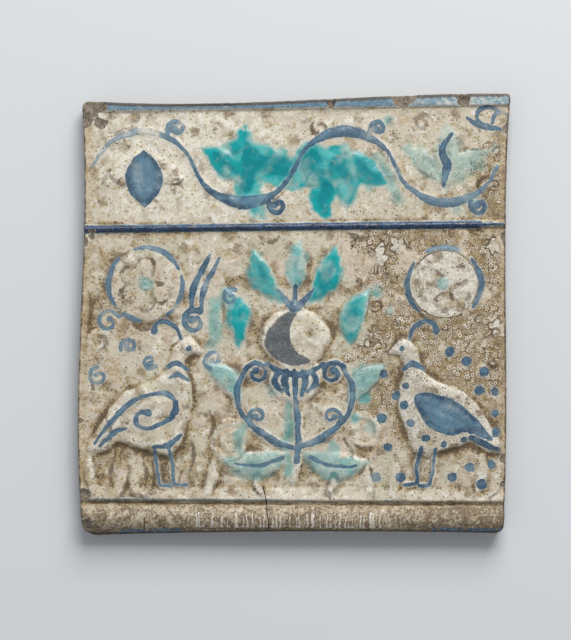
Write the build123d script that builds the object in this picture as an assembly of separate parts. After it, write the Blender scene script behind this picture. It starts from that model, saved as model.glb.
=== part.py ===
from build123d import *
from math import atan2, degrees
import os

# Square wall tile of moulded, glazed fritware, lying on its back. All sizes are in millimetres.
# X runs along the frieze, Y towards the tile's top edge, Z out of the glazed face, z = 0 is the back.
# It was pressed by hand, so no edge is quite straight and no corner quite square.

# Plan of the face
tile_width = 347.0
tile_height = 356.0
top_left_drift = (-0.5, -3.4)      # how far each corner lies from a true rectangle's, X and Y
top_right_drift = (2.3, 2.2)
bottom_right_drift = (-4.0, 0.0)
bottom_left_drift = (1.0, -2.2)
top_left_radius = 6.0
top_right_radius = 4.0
bottom_right_radius = 7.0
bottom_left_radius = 11.0
# Each edge wanders from a straight line: (share of the way along it, how far outwards)
bottom_wander = [(0.5, -2.6)]
right_wander = [(0.17, 1.3), (0.5, -0.8)]
top_wander = [(0.14, 0.4), (0.5, -2.8)]
left_wander = [(0.26, -1.9), (0.88, 3.3)]

# Thickness, and the bevel behind the edges that leaves room for mortar
field_thickness = 18.0
edge_land = 7.0                    # the bevel ends this far above the back
back_bevel = 2.5

# Top band
band_drop = 9.5                    # top edge down to the band's lower edge
band_rise = 2.0
band_slope = 1.5                   # width of the soft step down to the frieze
band_tilt = 5.4                    # how much higher its right end lies

# Cord between the frieze and the main field
cord_drop = 106.2                  # top edge down to the cord's middle
cord_width = 5.6
cord_rise = 2.6
cord_tilt = 4.4

# Foot moulding: the field swells to a lip, drops into a groove, and a roll closes the bottom
groove_height = 25.5               # bottom edge up to the groove's middle
groove_width = 3.4
groove_depth = 1.6
foot_tilt = -2.0
lip_width = 11.0
lip_rise = 1.6
roll_rise = 5.0                    # crest of the roll above the field
roll_crest = 12.5                  # bottom edge up to the roll's crest
roll_foot = 5.5                    # how far below the field the roll has fallen at the bottom edge

# Low relief pressed with the mould. Each rise is measured from the field.
relief_draft = 32.0                # slope of the relief's sides, in degrees from upright
relief_root = 0.5                  # how far each form reaches into the field

# A bird at each side, drawn from the point between its feet, facing right
bird_rise = 2.6
bird_inset = 66.5                  # side edge to the point between a bird's feet
bird_stand = 15.0                  # that point above the groove
bird_outline = [                   # from the beak over the head: ends of arcs and points on them, in turn
    (31, 107), (20, 119), (8, 110), (5, 97), (-6, 85), (-32, 74), (-48, 54), (-56, 41), (-62, 29), (-56, 25),
    (-46, 28), (-36, 34), (-24, 30), (6, 24), (20, 52), (23, 74), (18, 96), (22, 104),
]
leg_rise = 1.0
leg_width = 3.4
bird_legs = [[(-7, 28), (-5, 12), (-3, 0), (6, -2)], [(4, 30), (8, 14), (8, 1), (18, -1)]]

# A flower above each bird
disc_rise = 1.0
disc_radius = 31.0                 # of the disc that carries each flower
flower_inset = 52.0                # side edge to the flower's middle
flower_drop = 47.0                 # cord down to the flower's middle
petal_rise = 2.0
petal_count = 6
petal_radius = 7.0
petal_circle = 14.5                # the petals' middles lie on a circle of this radius

# The fruit tree between the birds, drawn from the middle of its fruit
fruit_rise = 2.8
fruit_stand = 132.0                # middle of the fruit above the groove
fruit_outline = [
    (0, 31), (-9, 24), (-18, 20), (-29, 2), (-14, -21), (0, -25), (14, -21), (29, 2), (18, 20), (9, 24),
]
cup_rise = 2.0
cup_outline = [(-21, -20), (-18, -42), (0, -52), (18, -42), (21, -20), (0, -15)]
stem_rise = 1.4
stem_width = 7.0
stem_line = [(1, -50), (3, -82), (-2, -113)]
branch_rise = 1.2
branch_width = 4.4
branch_line = [(2, -88), (42, -62), (47, -34), (38, -18), (27, -27)]
leaf_rise = 1.8
tree_leaves = [                    # base, tip, width and bow of each leaf, from the fruit's middle
    ((-4, -91), (-60, -97), 22, 8),
    ((6, -91), (60, -99), 22, -8),
    ((-45, -50), (-72, -19), 18, -4),
    ((45, -50), (73, -21), 18, 4),
    ((-46, -3), (-58, 42), 19, -6),
    ((46, -3), (60, 40), 19, 6),
    ((-11, 33), (-34, 73), 19, 5),
    ((11, 33), (34, 75), 19, -5),
    ((0, 40), (2, 80), 17, 0),
]

# The frieze, measured up from the cord: a running vine with a spray of leaves in each bend
vine_rise = 1.4
vine_width = 7.0
vine_middle = 48.5
vine_swing = 29.0                  # how far it rises and falls from its middle
vine_bends = 4
vine_margin = 9.0                  # side edge to the vine's end
spray_rise = 1.8
spray_offset = 5.0                 # how far a spray lies from the vine's middle, away from the bend
spray_leaves = [((-3, 18), (-34, -10), 18, 4), ((3, 18), (34, -8), 18, -4), ((0, 22), (1, -28), 20, 0)]

# Lost glaze and body along the edges, each a shallow scoop: (from which corner, X, Y, width, depth)
chips = [
    ("top_left", 6.0, -7.0, 25.0, 4.6),
    ("top_left", 15.0, -20.0, 13.0, 3.0),
    ("top_left", 1.0, -17.0, 20.0, 5.0),
    ("top_right", -91.0, -2.5, 15.0, 4.6),
    ("top_right", -83.0, -1.0, 14.0, 3.8),
    ("top_right", -38.5, -4.5, 11.0, 3.0),
    ("top_right", -147.0, -5.5, 8.0, 2.6),
    ("bottom_left", 2.5, 6.0, 12.0, 3.0),
    ("bottom_right", 1.5, 57.0, 12.0, 3.4),
]

top = tile_height / 2
bottom = -tile_height / 2
overrun = 20.0                     # how far the mouldings run past the edges before the outline trims them
beyond = max(tile_width, tile_height) / 2 + overrun
cord_line = top - cord_drop
groove_line = bottom + groove_height


def corner(name):
    """A corner of the face's outline, before its rounding."""
    drift = {
        "top_left": top_left_drift,
        "top_right": top_right_drift,
        "bottom_right": bottom_right_drift,
        "bottom_left": bottom_left_drift,
    }[name]
    across = -1 if "left" in name else 1
    up = -1 if "bottom" in name else 1
    return Vector(across * tile_width / 2 + drift[0], up * tile_height / 2 + drift[1])


def wandering_edge(start, end, wander):
    """A smooth edge through points that stand off the straight line from start to end."""
    along = end - start
    outwards = Vector(along.Y, -along.X).normalized()
    between = [start + along * share + outwards * away for share, away in wander]
    return Spline(start, *between, end)


def outline(inset=0.0):
    """The tile's plan, drawn anticlockwise, with each corner pulled in by inset both ways."""
    bottom_left = corner("bottom_left") + Vector(inset, inset)
    bottom_right = corner("bottom_right") + Vector(-inset, inset)
    top_right = corner("top_right") + Vector(-inset, -inset)
    top_left = corner("top_left") + Vector(inset, -inset)
    edges = [
        wandering_edge(bottom_left, bottom_right, bottom_wander),
        wandering_edge(bottom_right, top_right, right_wander),
        wandering_edge(top_right, top_left, top_wander),
        wandering_edge(top_left, bottom_left, left_wander),
    ]
    plan = Sketch() + make_face(Wire(edges))
    rounded = [
        (bottom_left, bottom_left_radius),
        (bottom_right, bottom_right_radius),
        (top_right, top_right_radius),
        (top_left, top_left_radius),
    ]
    for point, radius in rounded:
        nearest = plan.vertices().sort_by_distance(point)[0]
        plan = fillet(nearest, radius)
    return plan.faces()[0]


def blank():
    """The pressed slab before its face is moulded: square sides over a bevel that runs in to the back."""
    face = outline()
    bevel = loft([outline(back_bevel), Pos(0, 0, edge_land) * face], ruled=True)
    sides = extrude(Pos(0, 0, edge_land) * face, field_thickness + 2 * roll_rise - edge_land)
    return bevel + sides


def run(edges, middle, tilt):
    """A moulding's section, drawn as (Y, Z) about its own middle, run across the tile at a slight tilt."""
    start = Plane(origin=(-beyond, 0, 0), x_dir=(0, 1, 0), z_dir=(1, 0, 0))
    length = extrude(start * make_face(Wire(edges)), 2 * beyond)
    return Pos(0, middle, 0) * Rot(0, 0, degrees(atan2(tilt, tile_width))) * length


def field_and_foot():
    """The flat field at its full thickness, ending in the lip, the groove and the roll."""
    level = field_thickness
    below = -field_thickness
    far = 2 * beyond
    lip_edge = groove_width / 2
    lip_start = lip_edge + lip_width
    foot_edge = -groove_height
    section = [
        Line((foot_edge - far, below), (far, below)),
        Line((far, below), (far, level)),
        Line((far, level), (lip_start, level)),
        ThreePointArc(
            (lip_start, level),
            (lip_edge + lip_width * 0.45, level + lip_rise * 0.72),
            (lip_edge, level + lip_rise),
        ),
        Line((lip_edge, level + lip_rise), (groove_width / 4, level - groove_depth)),
        Line((groove_width / 4, level - groove_depth), (-groove_width / 2, level - groove_depth)),
        ThreePointArc(
            (-groove_width / 2, level - groove_depth),
            (foot_edge + roll_crest, level + roll_rise),
            (foot_edge, level - roll_foot),
        ),
        Line((foot_edge, level - roll_foot), (foot_edge - far, level - roll_foot)),
        Line((foot_edge - far, level - roll_foot), (foot_edge - far, below)),
    ]
    return run(section, groove_line, foot_tilt)


def band():
    """The raised top band, from its soft step up past the top edge."""
    high = field_thickness + band_rise
    low = field_thickness - band_rise
    section = [
        Line((-band_slope, low), (beyond, low)),
        Line((beyond, low), (beyond, high)),
        Line((beyond, high), (0, high)),
        Line((0, high), (-band_slope, field_thickness)),
        Line((-band_slope, field_thickness), (-band_slope, low)),
    ]
    return run(section, top - band_drop, band_tilt)


def cord():
    """The rounded cord that divides the face."""
    radius = (cord_width**2 / 4 + cord_rise**2) / (2 * cord_rise)
    height = field_thickness + cord_rise - radius
    length = Rot(0, 90, 0) * Cylinder(radius, 2 * beyond)
    return Pos(0, cord_line, height) * Rot(0, 0, degrees(atan2(cord_tilt, tile_width))) * length


def pressed(shape, rise):
    """A raised form on the field with the sloping sides that let the mould come away."""
    form = extrude(shape, rise + relief_root, taper=relief_draft)
    if form.center().Z < 0:        # a shape drawn clockwise grows downwards
        form = mirror(form, about=Plane.XY)
    return Pos(0, 0, field_thickness - relief_root) * form


def closed_form(points):
    """A shape bounded by arcs: each second point lies on the arc between its neighbours."""
    ends = points[0::2]
    arcs = [ThreePointArc(ends[i], points[2 * i + 1], ends[(i + 1) % len(ends)]) for i in range(len(ends))]
    return make_face(Wire(arcs))


def line_form(points, width, rise):
    """A raised line of even width along a smooth curve."""
    return pressed(trace(Spline(*points), width), rise)


def mirrored(points, side):
    return [(side * x, y) for x, y in points]


def leaf(base, tip, width, bow):
    """A pointed leaf: two arcs from its base to its tip, bowed to the left of its way."""
    base = Vector(*base)
    tip = Vector(*tip)
    along = tip - base
    left = Vector(-along.Y, along.X).normalized()
    middle = base + along * 0.5 + left * bow
    sides = [
        ThreePointArc(base, middle - left * (width / 2), tip),
        ThreePointArc(tip, middle + left * (width / 2), base),
    ]
    return make_face(Wire(sides))


def bird(side):
    """A standing bird that faces the tile's middle, at the left (side -1) or the right (side 1)."""
    forms = [pressed(closed_form(mirrored(bird_outline, -side)), bird_rise)]
    forms += [line_form(mirrored(leg, -side), leg_width, leg_rise) for leg in bird_legs]
    place = Pos(side * (tile_width / 2 - bird_inset), groove_line + bird_stand, 0)
    return [place * form for form in forms]


def flower(side):
    """A ring of round petals on a low disc, above each bird."""
    petal = pressed(Circle(petal_radius), petal_rise)
    forms = [pressed(Circle(disc_radius), disc_rise)]
    forms += [place * petal for place in PolarLocations(petal_circle, petal_count, start_angle=90)]
    place = Pos(side * (tile_width / 2 - flower_inset), cord_line - flower_drop, 0)
    return [place * form for form in forms]


def tree():
    """The fruit in its cup on a stem, two branches, and the leaves round them."""
    forms = [pressed(closed_form(fruit_outline), fruit_rise), pressed(closed_form(cup_outline), cup_rise)]
    forms.append(pressed(trace(ThreePointArc(*stem_line), stem_width), stem_rise))
    forms += [line_form(mirrored(branch_line, side), branch_width, branch_rise) for side in (-1, 1)]
    forms += [pressed(leaf(*each), leaf_rise) for each in tree_leaves]
    place = Pos(0, groove_line + fruit_stand, 0)
    return [place * form for form in forms]


def frieze():
    """The running vine, a chain of like arcs, and a spray of three leaves in each of its bends."""
    pitch = (tile_width - 2 * vine_margin) / vine_bends
    start = -pitch * vine_bends / 2
    arcs = []
    sprays = []
    for bend in range(vine_bends):
        way_up = 1 if bend % 2 == 0 else -1
        left = start + bend * pitch
        middle = left + pitch / 2
        crest = (middle, vine_middle + way_up * vine_swing)
        arcs.append(ThreePointArc((left, vine_middle), crest, (left + pitch, vine_middle)))
        for base, tip, width, bow in spray_leaves:
            blade = leaf((base[0], base[1] * way_up), (tip[0], tip[1] * way_up), width, bow * way_up)
            sprays.append(Pos(middle, vine_middle - way_up * spray_offset, 0) * pressed(blade, spray_rise))
    forms = [pressed(trace(arcs, vine_width), vine_rise)] + sprays
    return [Pos(0, cord_line, 0) * form for form in forms]


def scoop(at_corner, x, y, width, depth):
    """A ball that takes a shallow chip of this width and depth out of the face."""
    radius = (width**2 / 4 + depth**2) / (2 * depth)
    place = corner(at_corner) + Vector(x, y)
    return Pos(place.X, place.Y, field_thickness + band_rise - depth + radius) * Sphere(radius)


def tile():
    moulding = field_and_foot() + band() + cord()
    relief = bird(-1) + bird(1) + flower(-1) + flower(1) + tree() + frieze()
    body = (blank() & moulding) + relief
    for chip in chips:
        body -= scoop(*chip)
    middle = body.bounding_box().center()
    return Pos(-middle.X, -middle.Y, 0) * body


os.makedirs("parts", exist_ok=True)
piece = tile()
export_step(piece, "parts/tile.step")
box = piece.bounding_box()
print("tile", box.size, "volume", round(piece.volume), "faces", len(piece.faces()))
print("low corner", box.min, "high corner", box.max)
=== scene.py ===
from math import cos, hypot, pi, radians, sin

import bpy
import numpy as np
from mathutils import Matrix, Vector, noise


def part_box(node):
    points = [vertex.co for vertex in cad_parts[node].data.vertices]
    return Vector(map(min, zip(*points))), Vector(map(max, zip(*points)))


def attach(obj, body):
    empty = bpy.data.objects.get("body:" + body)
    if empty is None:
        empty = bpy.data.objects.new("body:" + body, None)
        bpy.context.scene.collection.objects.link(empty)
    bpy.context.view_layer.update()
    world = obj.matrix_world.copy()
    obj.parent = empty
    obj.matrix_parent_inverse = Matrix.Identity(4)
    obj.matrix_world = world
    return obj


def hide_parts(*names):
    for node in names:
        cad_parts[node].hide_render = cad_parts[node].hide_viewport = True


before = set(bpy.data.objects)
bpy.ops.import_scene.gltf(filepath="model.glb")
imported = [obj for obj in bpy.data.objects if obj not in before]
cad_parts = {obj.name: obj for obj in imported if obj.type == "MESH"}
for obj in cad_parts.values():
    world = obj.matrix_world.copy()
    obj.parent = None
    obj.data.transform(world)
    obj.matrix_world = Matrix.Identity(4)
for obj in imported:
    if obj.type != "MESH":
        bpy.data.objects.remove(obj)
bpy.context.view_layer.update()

# A moulded wall tile of glazed fritware, lying on its back. Sizes are in millimetres until the mesh is
# placed. X runs along the frieze, Y towards the top edge and Z out of the face, from the middle of the
# tile's back.

plan = {
    "width": 347.0,
    "height": 356.0,
    "drift": {  # of each corner from its place, across and up
        "topLeft": (-0.5, -3.4), "topRight": (2.3, 2.2), "bottomRight": (-4.0, 0.0),
        "bottomLeft": (1.0, -2.2),
    },
    "radius": {"topLeft": 6.0, "topRight": 4.0, "bottomRight": 7.0, "bottomLeft": 11.0},
    "wander": {  # share of the way along each edge, and how far outwards it strays there
        "bottom": [(0.5, -2.6)],
        "right": [(0.17, 1.3), (0.5, -0.8)],
        "top": [(0.14, 0.4), (0.5, -2.8)],
        "left": [(0.26, -1.9), (0.88, 3.3)],
    },
    "thickness": 18.0,
    "arris": 1.1,  # the face ends this far inside the outline, and its edge is rounded over
    "cells": 290,  # of the face, each way
    "backCells": 58,
}

section = {
    "bandDrop": 9.5, "bandRise": 2.0, "bandSlope": 1.8, "bandTilt": 5.4,
    "cordDrop": 106.2, "cordWidth": 5.6, "cordRise": 2.5, "cordTilt": 4.4,
    "grooveHeight": 25.5, "grooveWidth": 3.4, "grooveDepth": 1.6, "footTilt": -2.0,
    "lipWidth": 11.0, "lipRise": 1.6,
    "rollRise": 4.85, "rollCrest": 12.5, "rollFoot": 5.5,
}

top = plan["height"] / 2
bottom = -plan["height"] / 2
cordLine = top - section["cordDrop"]
grooveLine = bottom + section["grooveHeight"]
far = 14.0  # distances to painted and pressed shapes are kept up to this


# Drawing: paths are rows of x, y and half width


def smoothPath(points, closed=False, steps=7):
    path = np.array(points, float)
    if closed:
        path = np.vstack([path[-1], path, path[0], path[1]])
    else:
        path = np.vstack([2 * path[0] - path[1], path, 2 * path[-1] - path[-2]])
    found = []
    for a, b, c, d in zip(path[:-3], path[1:-2], path[2:-1], path[3:]):
        for t in np.arange(steps) / steps:
            cubic = 2 * b + (c - a) * t + (2 * a - 5 * b + 4 * c - d) * t**2
            cubic += (3 * b - a - 3 * c + d) * t**3
            found.append(cubic / 2)
    if not closed:
        found.append(path[-2])
    return np.array(found)


def ringPath(x, y, radius, halfWidth, start=0, end=360, squash=1.0):
    angles = np.radians(np.linspace(start, end, max(9, int(abs(end - start) / 9))))
    return [(x + radius * cos(a), y + radius * squash * sin(a), halfWidth) for a in angles]


def curlPath(x, y, radius, turns, start, way, wide, narrow):
    # a spiral that winds in from its outer end to a ball
    count = int(turns * 12)
    path = []
    for k in range(count + 1):
        share = k / count
        angle = radians(start + way * 360 * turns * share)
        reach = radius * (1 - 0.72 * share)
        path.append((x + reach * cos(angle), y + reach * sin(angle), wide + (narrow - wide) * share))
    path[-1] = (path[-1][0], path[-1][1], wide * 1.5)
    return path


def leafAxis(base, tip):
    # from the base of a leaf to its tip, and a step of 1 mm to the left of that
    axis = np.array(tip, float) - base
    return axis, np.array([-axis[1], axis[0]]) / hypot(*axis)


def leafPath(base, tip, width, bow, steps=12):
    axis, left = leafAxis(base, tip)
    shares = np.linspace(0, 1, steps + 1)
    swell = 4 * shares * (1 - shares)
    middle = base + np.outer(shares, axis)
    oneSide = middle + np.outer(swell * (bow + width / 2), left)
    otherSide = middle + np.outer(swell * (bow - width / 2), left)
    return np.vstack([oneSide, otherSide[-2:0:-1]])


def midribPath(base, tip, bow, halfWidth, start=0.12, end=0.82, steps=6):
    axis, left = leafAxis(base, tip)
    path = []
    for share in np.linspace(start, end, steps):
        point = base + axis * share + left * bow * 4 * share * (1 - share)
        path.append((point[0], point[1], halfWidth * (1.15 - 0.8 * share)))
    return path


def widened(points, extra):
    return [(x, y, sum(half) + extra) for x, y, *half in points]


layers = ("relief", "carved", "cobalt", "turquoise", "cream", "wash", "ochreLine", "grime", "sepia")
drawing = {layer: [] for layer in layers}


def draw(layer, points, closed=False, amount=1.0, smooth=True, at=(0, 0, 1)):
    # the amount is the height of a relief in mm, or how much of a paint is left
    # a motif's points are moved to x and y, and turned over where the third value is -1
    x, y, flip = at
    path = [(x + flip * px, y + py, *(half or [0.0])) for px, py, *half in points]
    path = smoothPath(path, closed) if smooth else np.array(path, float)
    drawing[layer].append(("shape" if closed else "line", path, amount))


def pressLeaf(base, tip, width, bow, at=(0, 0, 1), rise=1.9, rib=0.9, depth=0.6):
    draw("relief", leafPath(base, tip, width, bow), True, rise, smooth=False, at=at)
    draw("carved", midribPath(base, tip, bow, rib), amount=depth, at=at)


birdForm = {
    "inset": 66.5, "stand": 15.0, "rise": 2.5, "wingRise": 3.2,
    "outline": [
        (31, 107), (20, 119), (8, 110), (5, 97), (-6, 85), (-32, 74), (-48, 54), (-56, 41), (-62, 29),
        (-56, 25), (-46, 28), (-36, 34), (-24, 30), (6, 24), (20, 52), (23, 74), (18, 96), (22, 104),
    ],
    "wing": [(8, 73), (-10, 72), (-28, 64), (-42, 50), (-53, 36), (-34, 42), (-17, 40), (-2, 47), (7, 60)],
    "legs": [[(-7, 28), (-5, 12), (-3, 0), (6, -2)], [(4, 30), (8, 14), (8, 1), (18, -1)]],
    "feathers": [
        [(4, 66), (-10, 60), (-26, 52), (-42, 40)], [(2, 56), (-10, 51), (-22, 46)],
        [(14, 44), (2, 36), (-12, 33)],
    ],
    "beak": [(31, 106, 0.8), (24, 105, 0.7)],
    "strokes": [  # crest, neck and eye in cobalt, and how much of it is left
        ([(14, 118, 0.9), (10, 127, 1.4), (2, 132, 1.7), (-6, 130, 1.5), (-8, 124, 2.4)], 0.85),
        ([(3, 94, 1.4), (11, 98, 2.1), (19, 93, 1.2)], 0.8),
        (ringPath(20, 110, 0.7, 1.2), 0.9),
    ],
    "brushed": [  # lines on the left bird that follow its feathers
        ([(10, 66, 1.0), (4, 73, 2.1), (-10, 73, 1.2), (-28, 65, 2.1), (-43, 50, 1.3),
          (-56, 33, 0.8)], 0.8),
        ([(10, 67, 1.4), (9, 58, 2.5), (0, 50, 1.7), (-14, 45, 1.2), (-22, 50, 1.7), (-20, 58, 1.3),
          (-12, 58, 2.5)], 0.95),
        ([(-30, 46, 0.9), (-40, 42, 1.9), (-52, 31, 0.9)], 0.75),
        ([(5, 86, 1.0), (12, 89, 1.8), (20, 84, 1.0)], 0.6),
        ([(14, 40, 1.2), (4, 32, 2.0), (-8, 30, 0.9)], 0.85),
    ],
    # on the right bird
    "tail": [(-36, 38, 1.6), (-48, 32, 2.3), (-59, 28, 1.6)],
    "spots": [(17, 80, 2.6), (18, 64, 3.0), (13, 50, 2.9), (0, 37, 2.6), (-14, 32, 2.4), (-30, 36, 2.3)],
}


def drawBird(side):
    spot = side * (plan["width"] / 2 - birdForm["inset"]), grooveLine + birdForm["stand"], -side
    draw("relief", birdForm["outline"], True, birdForm["rise"], at=spot)
    draw("relief", birdForm["wing"], True, birdForm["wingRise"], at=spot)
    draw("cream", birdForm["outline"], True, at=spot)
    for feather in birdForm["feathers"]:
        draw("carved", widened(feather, 0.8), amount=0.55, at=spot)
    for leg in birdForm["legs"]:
        draw("relief", widened(leg, 2.1), amount=1.2, at=spot)
        draw("cream", widened(leg, 2.4), at=spot)
        draw("cobalt", widened(leg, 1.2), amount=0.55 if side < 0 else 0.95, at=spot)
    draw("carved", birdForm["beak"], amount=0.7, at=spot)
    for path, left in birdForm["strokes"] + (birdForm["brushed"] if side < 0 else []):
        draw("cobalt", path, amount=left, at=spot)
    if side > 0:  # its wing is solid cobalt
        draw("cobalt", birdForm["wing"], True, at=spot)
        draw("cobalt", birdForm["tail"], at=spot)
        for px, py, size in birdForm["spots"]:
            draw("cobalt", ringPath(px, py, size * 0.5, size * 0.55), at=spot)


flowerForm = {
    "inset": 52.0, "drop": 47.0, "disc": 31.0, "rise": 1.0, "petal": 7.2, "circle": 14.5, "petalRise": 1.8,
    "eye": 4.6, "eyeRise": 1.6,
    "brushed": {  # arcs of cobalt round the left and the right disc: start, end and how much is left
        -1: ((25, 118, 0.75), (136, 214, 0.6), (232, 262, 0.4), (306, 372, 0.55)),
        1: ((-38, 42, 0.85), (62, 118, 0.4), (146, 226, 0.8)),
    },
}


def drawFlower(side):
    x, y = side * (plan["width"] / 2 - flowerForm["inset"]), cordLine - flowerForm["drop"]
    draw("relief", ringPath(x, y, flowerForm["disc"], 0, 0, 350), True, flowerForm["rise"])
    draw("cream", ringPath(x, y, flowerForm["disc"] - 4, 0, 0, 350), True)
    for k in range(6):
        angle = radians(60 * k + 90)
        px, py = x + flowerForm["circle"] * cos(angle), y + flowerForm["circle"] * sin(angle)
        lift = flowerForm["petalRise"] * (0.7 + 0.3 * cos(2.1 * k + side))
        draw("relief", ringPath(px, py, flowerForm["petal"], 0, 0, 340), True, lift)
    draw("relief", ringPath(x, y, flowerForm["eye"], 0, 0, 330), True, flowerForm["eyeRise"])
    for start, end, left in flowerForm["brushed"][side]:
        ring = ringPath(x, y, flowerForm["disc"] - 1, 0, start, end)[:9]
        draw("cobalt", [(px, py, 1.0 + sin(pi * k / 8)) for k, (px, py, _) in enumerate(ring)], amount=left)
    draw("turquoise", ringPath(x, y, 4.0, 0, 0, 330), True, 0.45)


treeForm = {
    "stand": 132.0,
    "fruit": [
        (0, 31), (-9, 24), (-18, 20), (-29, 2), (-14, -21), (0, -25), (14, -21), (29, 2), (18, 20), (9, 24),
    ],
    "fruitRise": 2.7,
    "cup": [(-21, -20), (-18, -42), (0, -52), (18, -42), (21, -20), (0, -15)],
    "cupRise": 2.0,
    "cupRim": [(-24, -19, 1.1), (-12, -26, 2.2), (0, -28, 2.5), (12, -26, 2.2), (24, -19, 1.1)],
    "blush": [
        (2, 24), (-11, 20), (-22, 8), (-24, -6), (-14, -17), (1, -21), (13, -17), (3, -11), (-4, 0),
        (-4, 12),
    ],
    "stem": [(1, -50, 3.4), (3, -82, 3.2), (-2, -113, 4.0)],
    "boughs": [  # on both sides: path, and how much cobalt is left
        ([(2, -88, 1.6), (22, -79, 2.8), (42, -62, 1.7), (47, -40, 2.3), (40, -24, 1.4)], 0.85),
        (curlPath(31, -27, 9.5, 1.15, 18, 1, 1.9, 1.1), 1.0),
        (curlPath(30, -62, 7.5, 1.0, -20, 1, 1.6, 1.0), 0.6),
    ],
    "leaves": [  # base, tip, width, bow and how much turquoise is left
        ((-4, -91), (-60, -97), 22, 8, 0.45), ((6, -91), (60, -99), 22, -8, 0.5),
        ((-45, -50), (-72, -19), 18, -4, 0.6), ((45, -50), (73, -21), 18, 4, 0.55),
        ((-46, -3), (-58, 42), 19, -6, 1.0), ((46, -3), (60, 40), 19, 6, 0.95),
        ((-11, 33), (-34, 73), 19, 5, 0.9), ((11, 33), (34, 75), 19, -5, 1.0),
        ((0, 40), (2, 80), 17, 0, 0.7),
    ],
    "stripes": (-15, -7.5, 0, 7.5, 15),  # of the cup
    "crown": ((-15, 41), (0, 46), (15, 42)),  # tips of the strokes on top of the fruit
    "runs": [  # paint that ran down the stem
        [(-6, -54, 2.0), (-5, -70, 3.2), (-7, -92, 2.2), (-6, -108, 3.0)],
        [(30, -84, 2.0), (34, -96, 3.6), (33, -104, 2.0)],
        [(-40, -70, 2.0), (-46, -82, 3.4), (-44, -94, 2.4)],
        [(-58, 36, 3.0), (-66, 24, 4.0), (-64, 8, 3.0), (-70, -6, 2.5)],
    ],
}


def drawTree():
    y = grooveLine + treeForm["stand"]
    spot = 0, y, 1
    for part in ("fruit", "cup"):
        draw("relief", treeForm[part], True, treeForm[part + "Rise"], at=spot)
        draw("cream", treeForm[part], True, at=spot)
    draw("wash", treeForm["blush"], True, at=spot)
    for px in treeForm["stripes"]:
        end = -47 + abs(px) * 0.35
        draw("cobalt", [(px * 0.9, -25, 1.4), (px * 1.12, -34, 2.5), (px * 0.7, end, 1.2)], at=spot)
    draw("cobalt", treeForm["cupRim"], at=spot)
    for px, py in treeForm["crown"]:
        draw("cobalt", [(px * 0.15, 26, 2.4), (px * 0.6, 34, 2.0), (px, py, 0.7)], amount=0.85, at=spot)
    draw("relief", treeForm["stem"], amount=1.6, at=spot)
    draw("cream", widened(treeForm["stem"], 1.2), at=spot)
    draw("cobalt", [(1, -50, 2.4), (3, -82, 2.0), (1, -98, 2.6)], amount=0.7, at=spot)
    for flip in (-1, 1):
        for path, left in treeForm["boughs"]:
            draw("cobalt", path, amount=left, at=(0, y, flip))
            draw("relief", widened(path, 1.0), amount=1.2, at=(0, y, flip))
            draw("cream", widened(path, 1.2), at=(0, y, flip))
    for base, tip, width, bow, left in treeForm["leaves"]:
        pressLeaf(base, tip, width, bow, spot)
        draw("turquoise", leafPath(base, tip, width * 0.9, bow * 1.1), True, left, False, spot)
        draw("cream", leafPath(base, tip, width, bow), True, smooth=False, at=spot)
    for base, tip, width, bow, _ in treeForm["leaves"][:2]:
        draw("cobalt", midribPath(base, tip, bow, 1.5), amount=0.6, at=spot)
    for path in treeForm["runs"]:
        draw("turquoise", path, amount=0.5, at=spot)


friezeForm = {
    "middle": 48.5, "swing": 29.0, "bends": 4, "margin": 9.0, "offset": 5.0,
    "spray": [((-3, 18), (-34, -10), 18, 4), ((3, 18), (34, -8), 18, -4), ((0, 22), (1, -28), 20, 0)],
    "sprayPaint": [0.0, 1.0, 0.95, 0.3],  # turquoise left on each spray
    "vinePaint": [0.3, 0.95, 0.8, 0.6],  # cobalt left along each bend
    "vineSwell": [1.4, 4.0, 3.2, 2.2],
    "tendrilPaint": [0.45, 1.0, 0.7, 0.9],
    "solidLeaf": ((0, 19), (1, -28), 30, 0),  # in the first bend
    "lastStroke": [(-2, -20, 1.2), (0, -4, 3.4), (-3, 10, 2.2), (4, 22, 1.2)],  # and in the last one
    "pools": [  # turquoise that ran together between the two middle sprays, and how much is left
        ([(-62, 126, 7.0), (-44, 132, 11.0), (-26, 124, 14.0), (-4, 114, 12.0), (14, 122, 13.0),
          (34, 124, 11.0), (52, 112, 6.0)], 1.0),
        ([(-34, 128, 13.0), (-38, 106, 11.0), (-32, 90, 7.0), (-27, 82, 3.5)], 1.0),
        ([(16, 128, 12.0), (24, 108, 11.0), (20, 93, 8.0), (24, 84, 4.5)], 1.0),
        ([(66, 128, 3.0), (76, 112, 4.5), (84, 94, 3.0)], 0.4),
    ],
    "loops": [  # of cobalt in the top right corner
        (ringPath(157, 162, 9, 1.5, 15, 265, 0.8), 0.85), (ringPath(168, 158, 7, 1.3, -30, 190, 1.0), 0.8),
        ([(140, 160, 0.8), (149, 155, 2.2), (161, 152, 1.7), (170, 150, 0.9)], 0.75),
    ],
}


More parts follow.
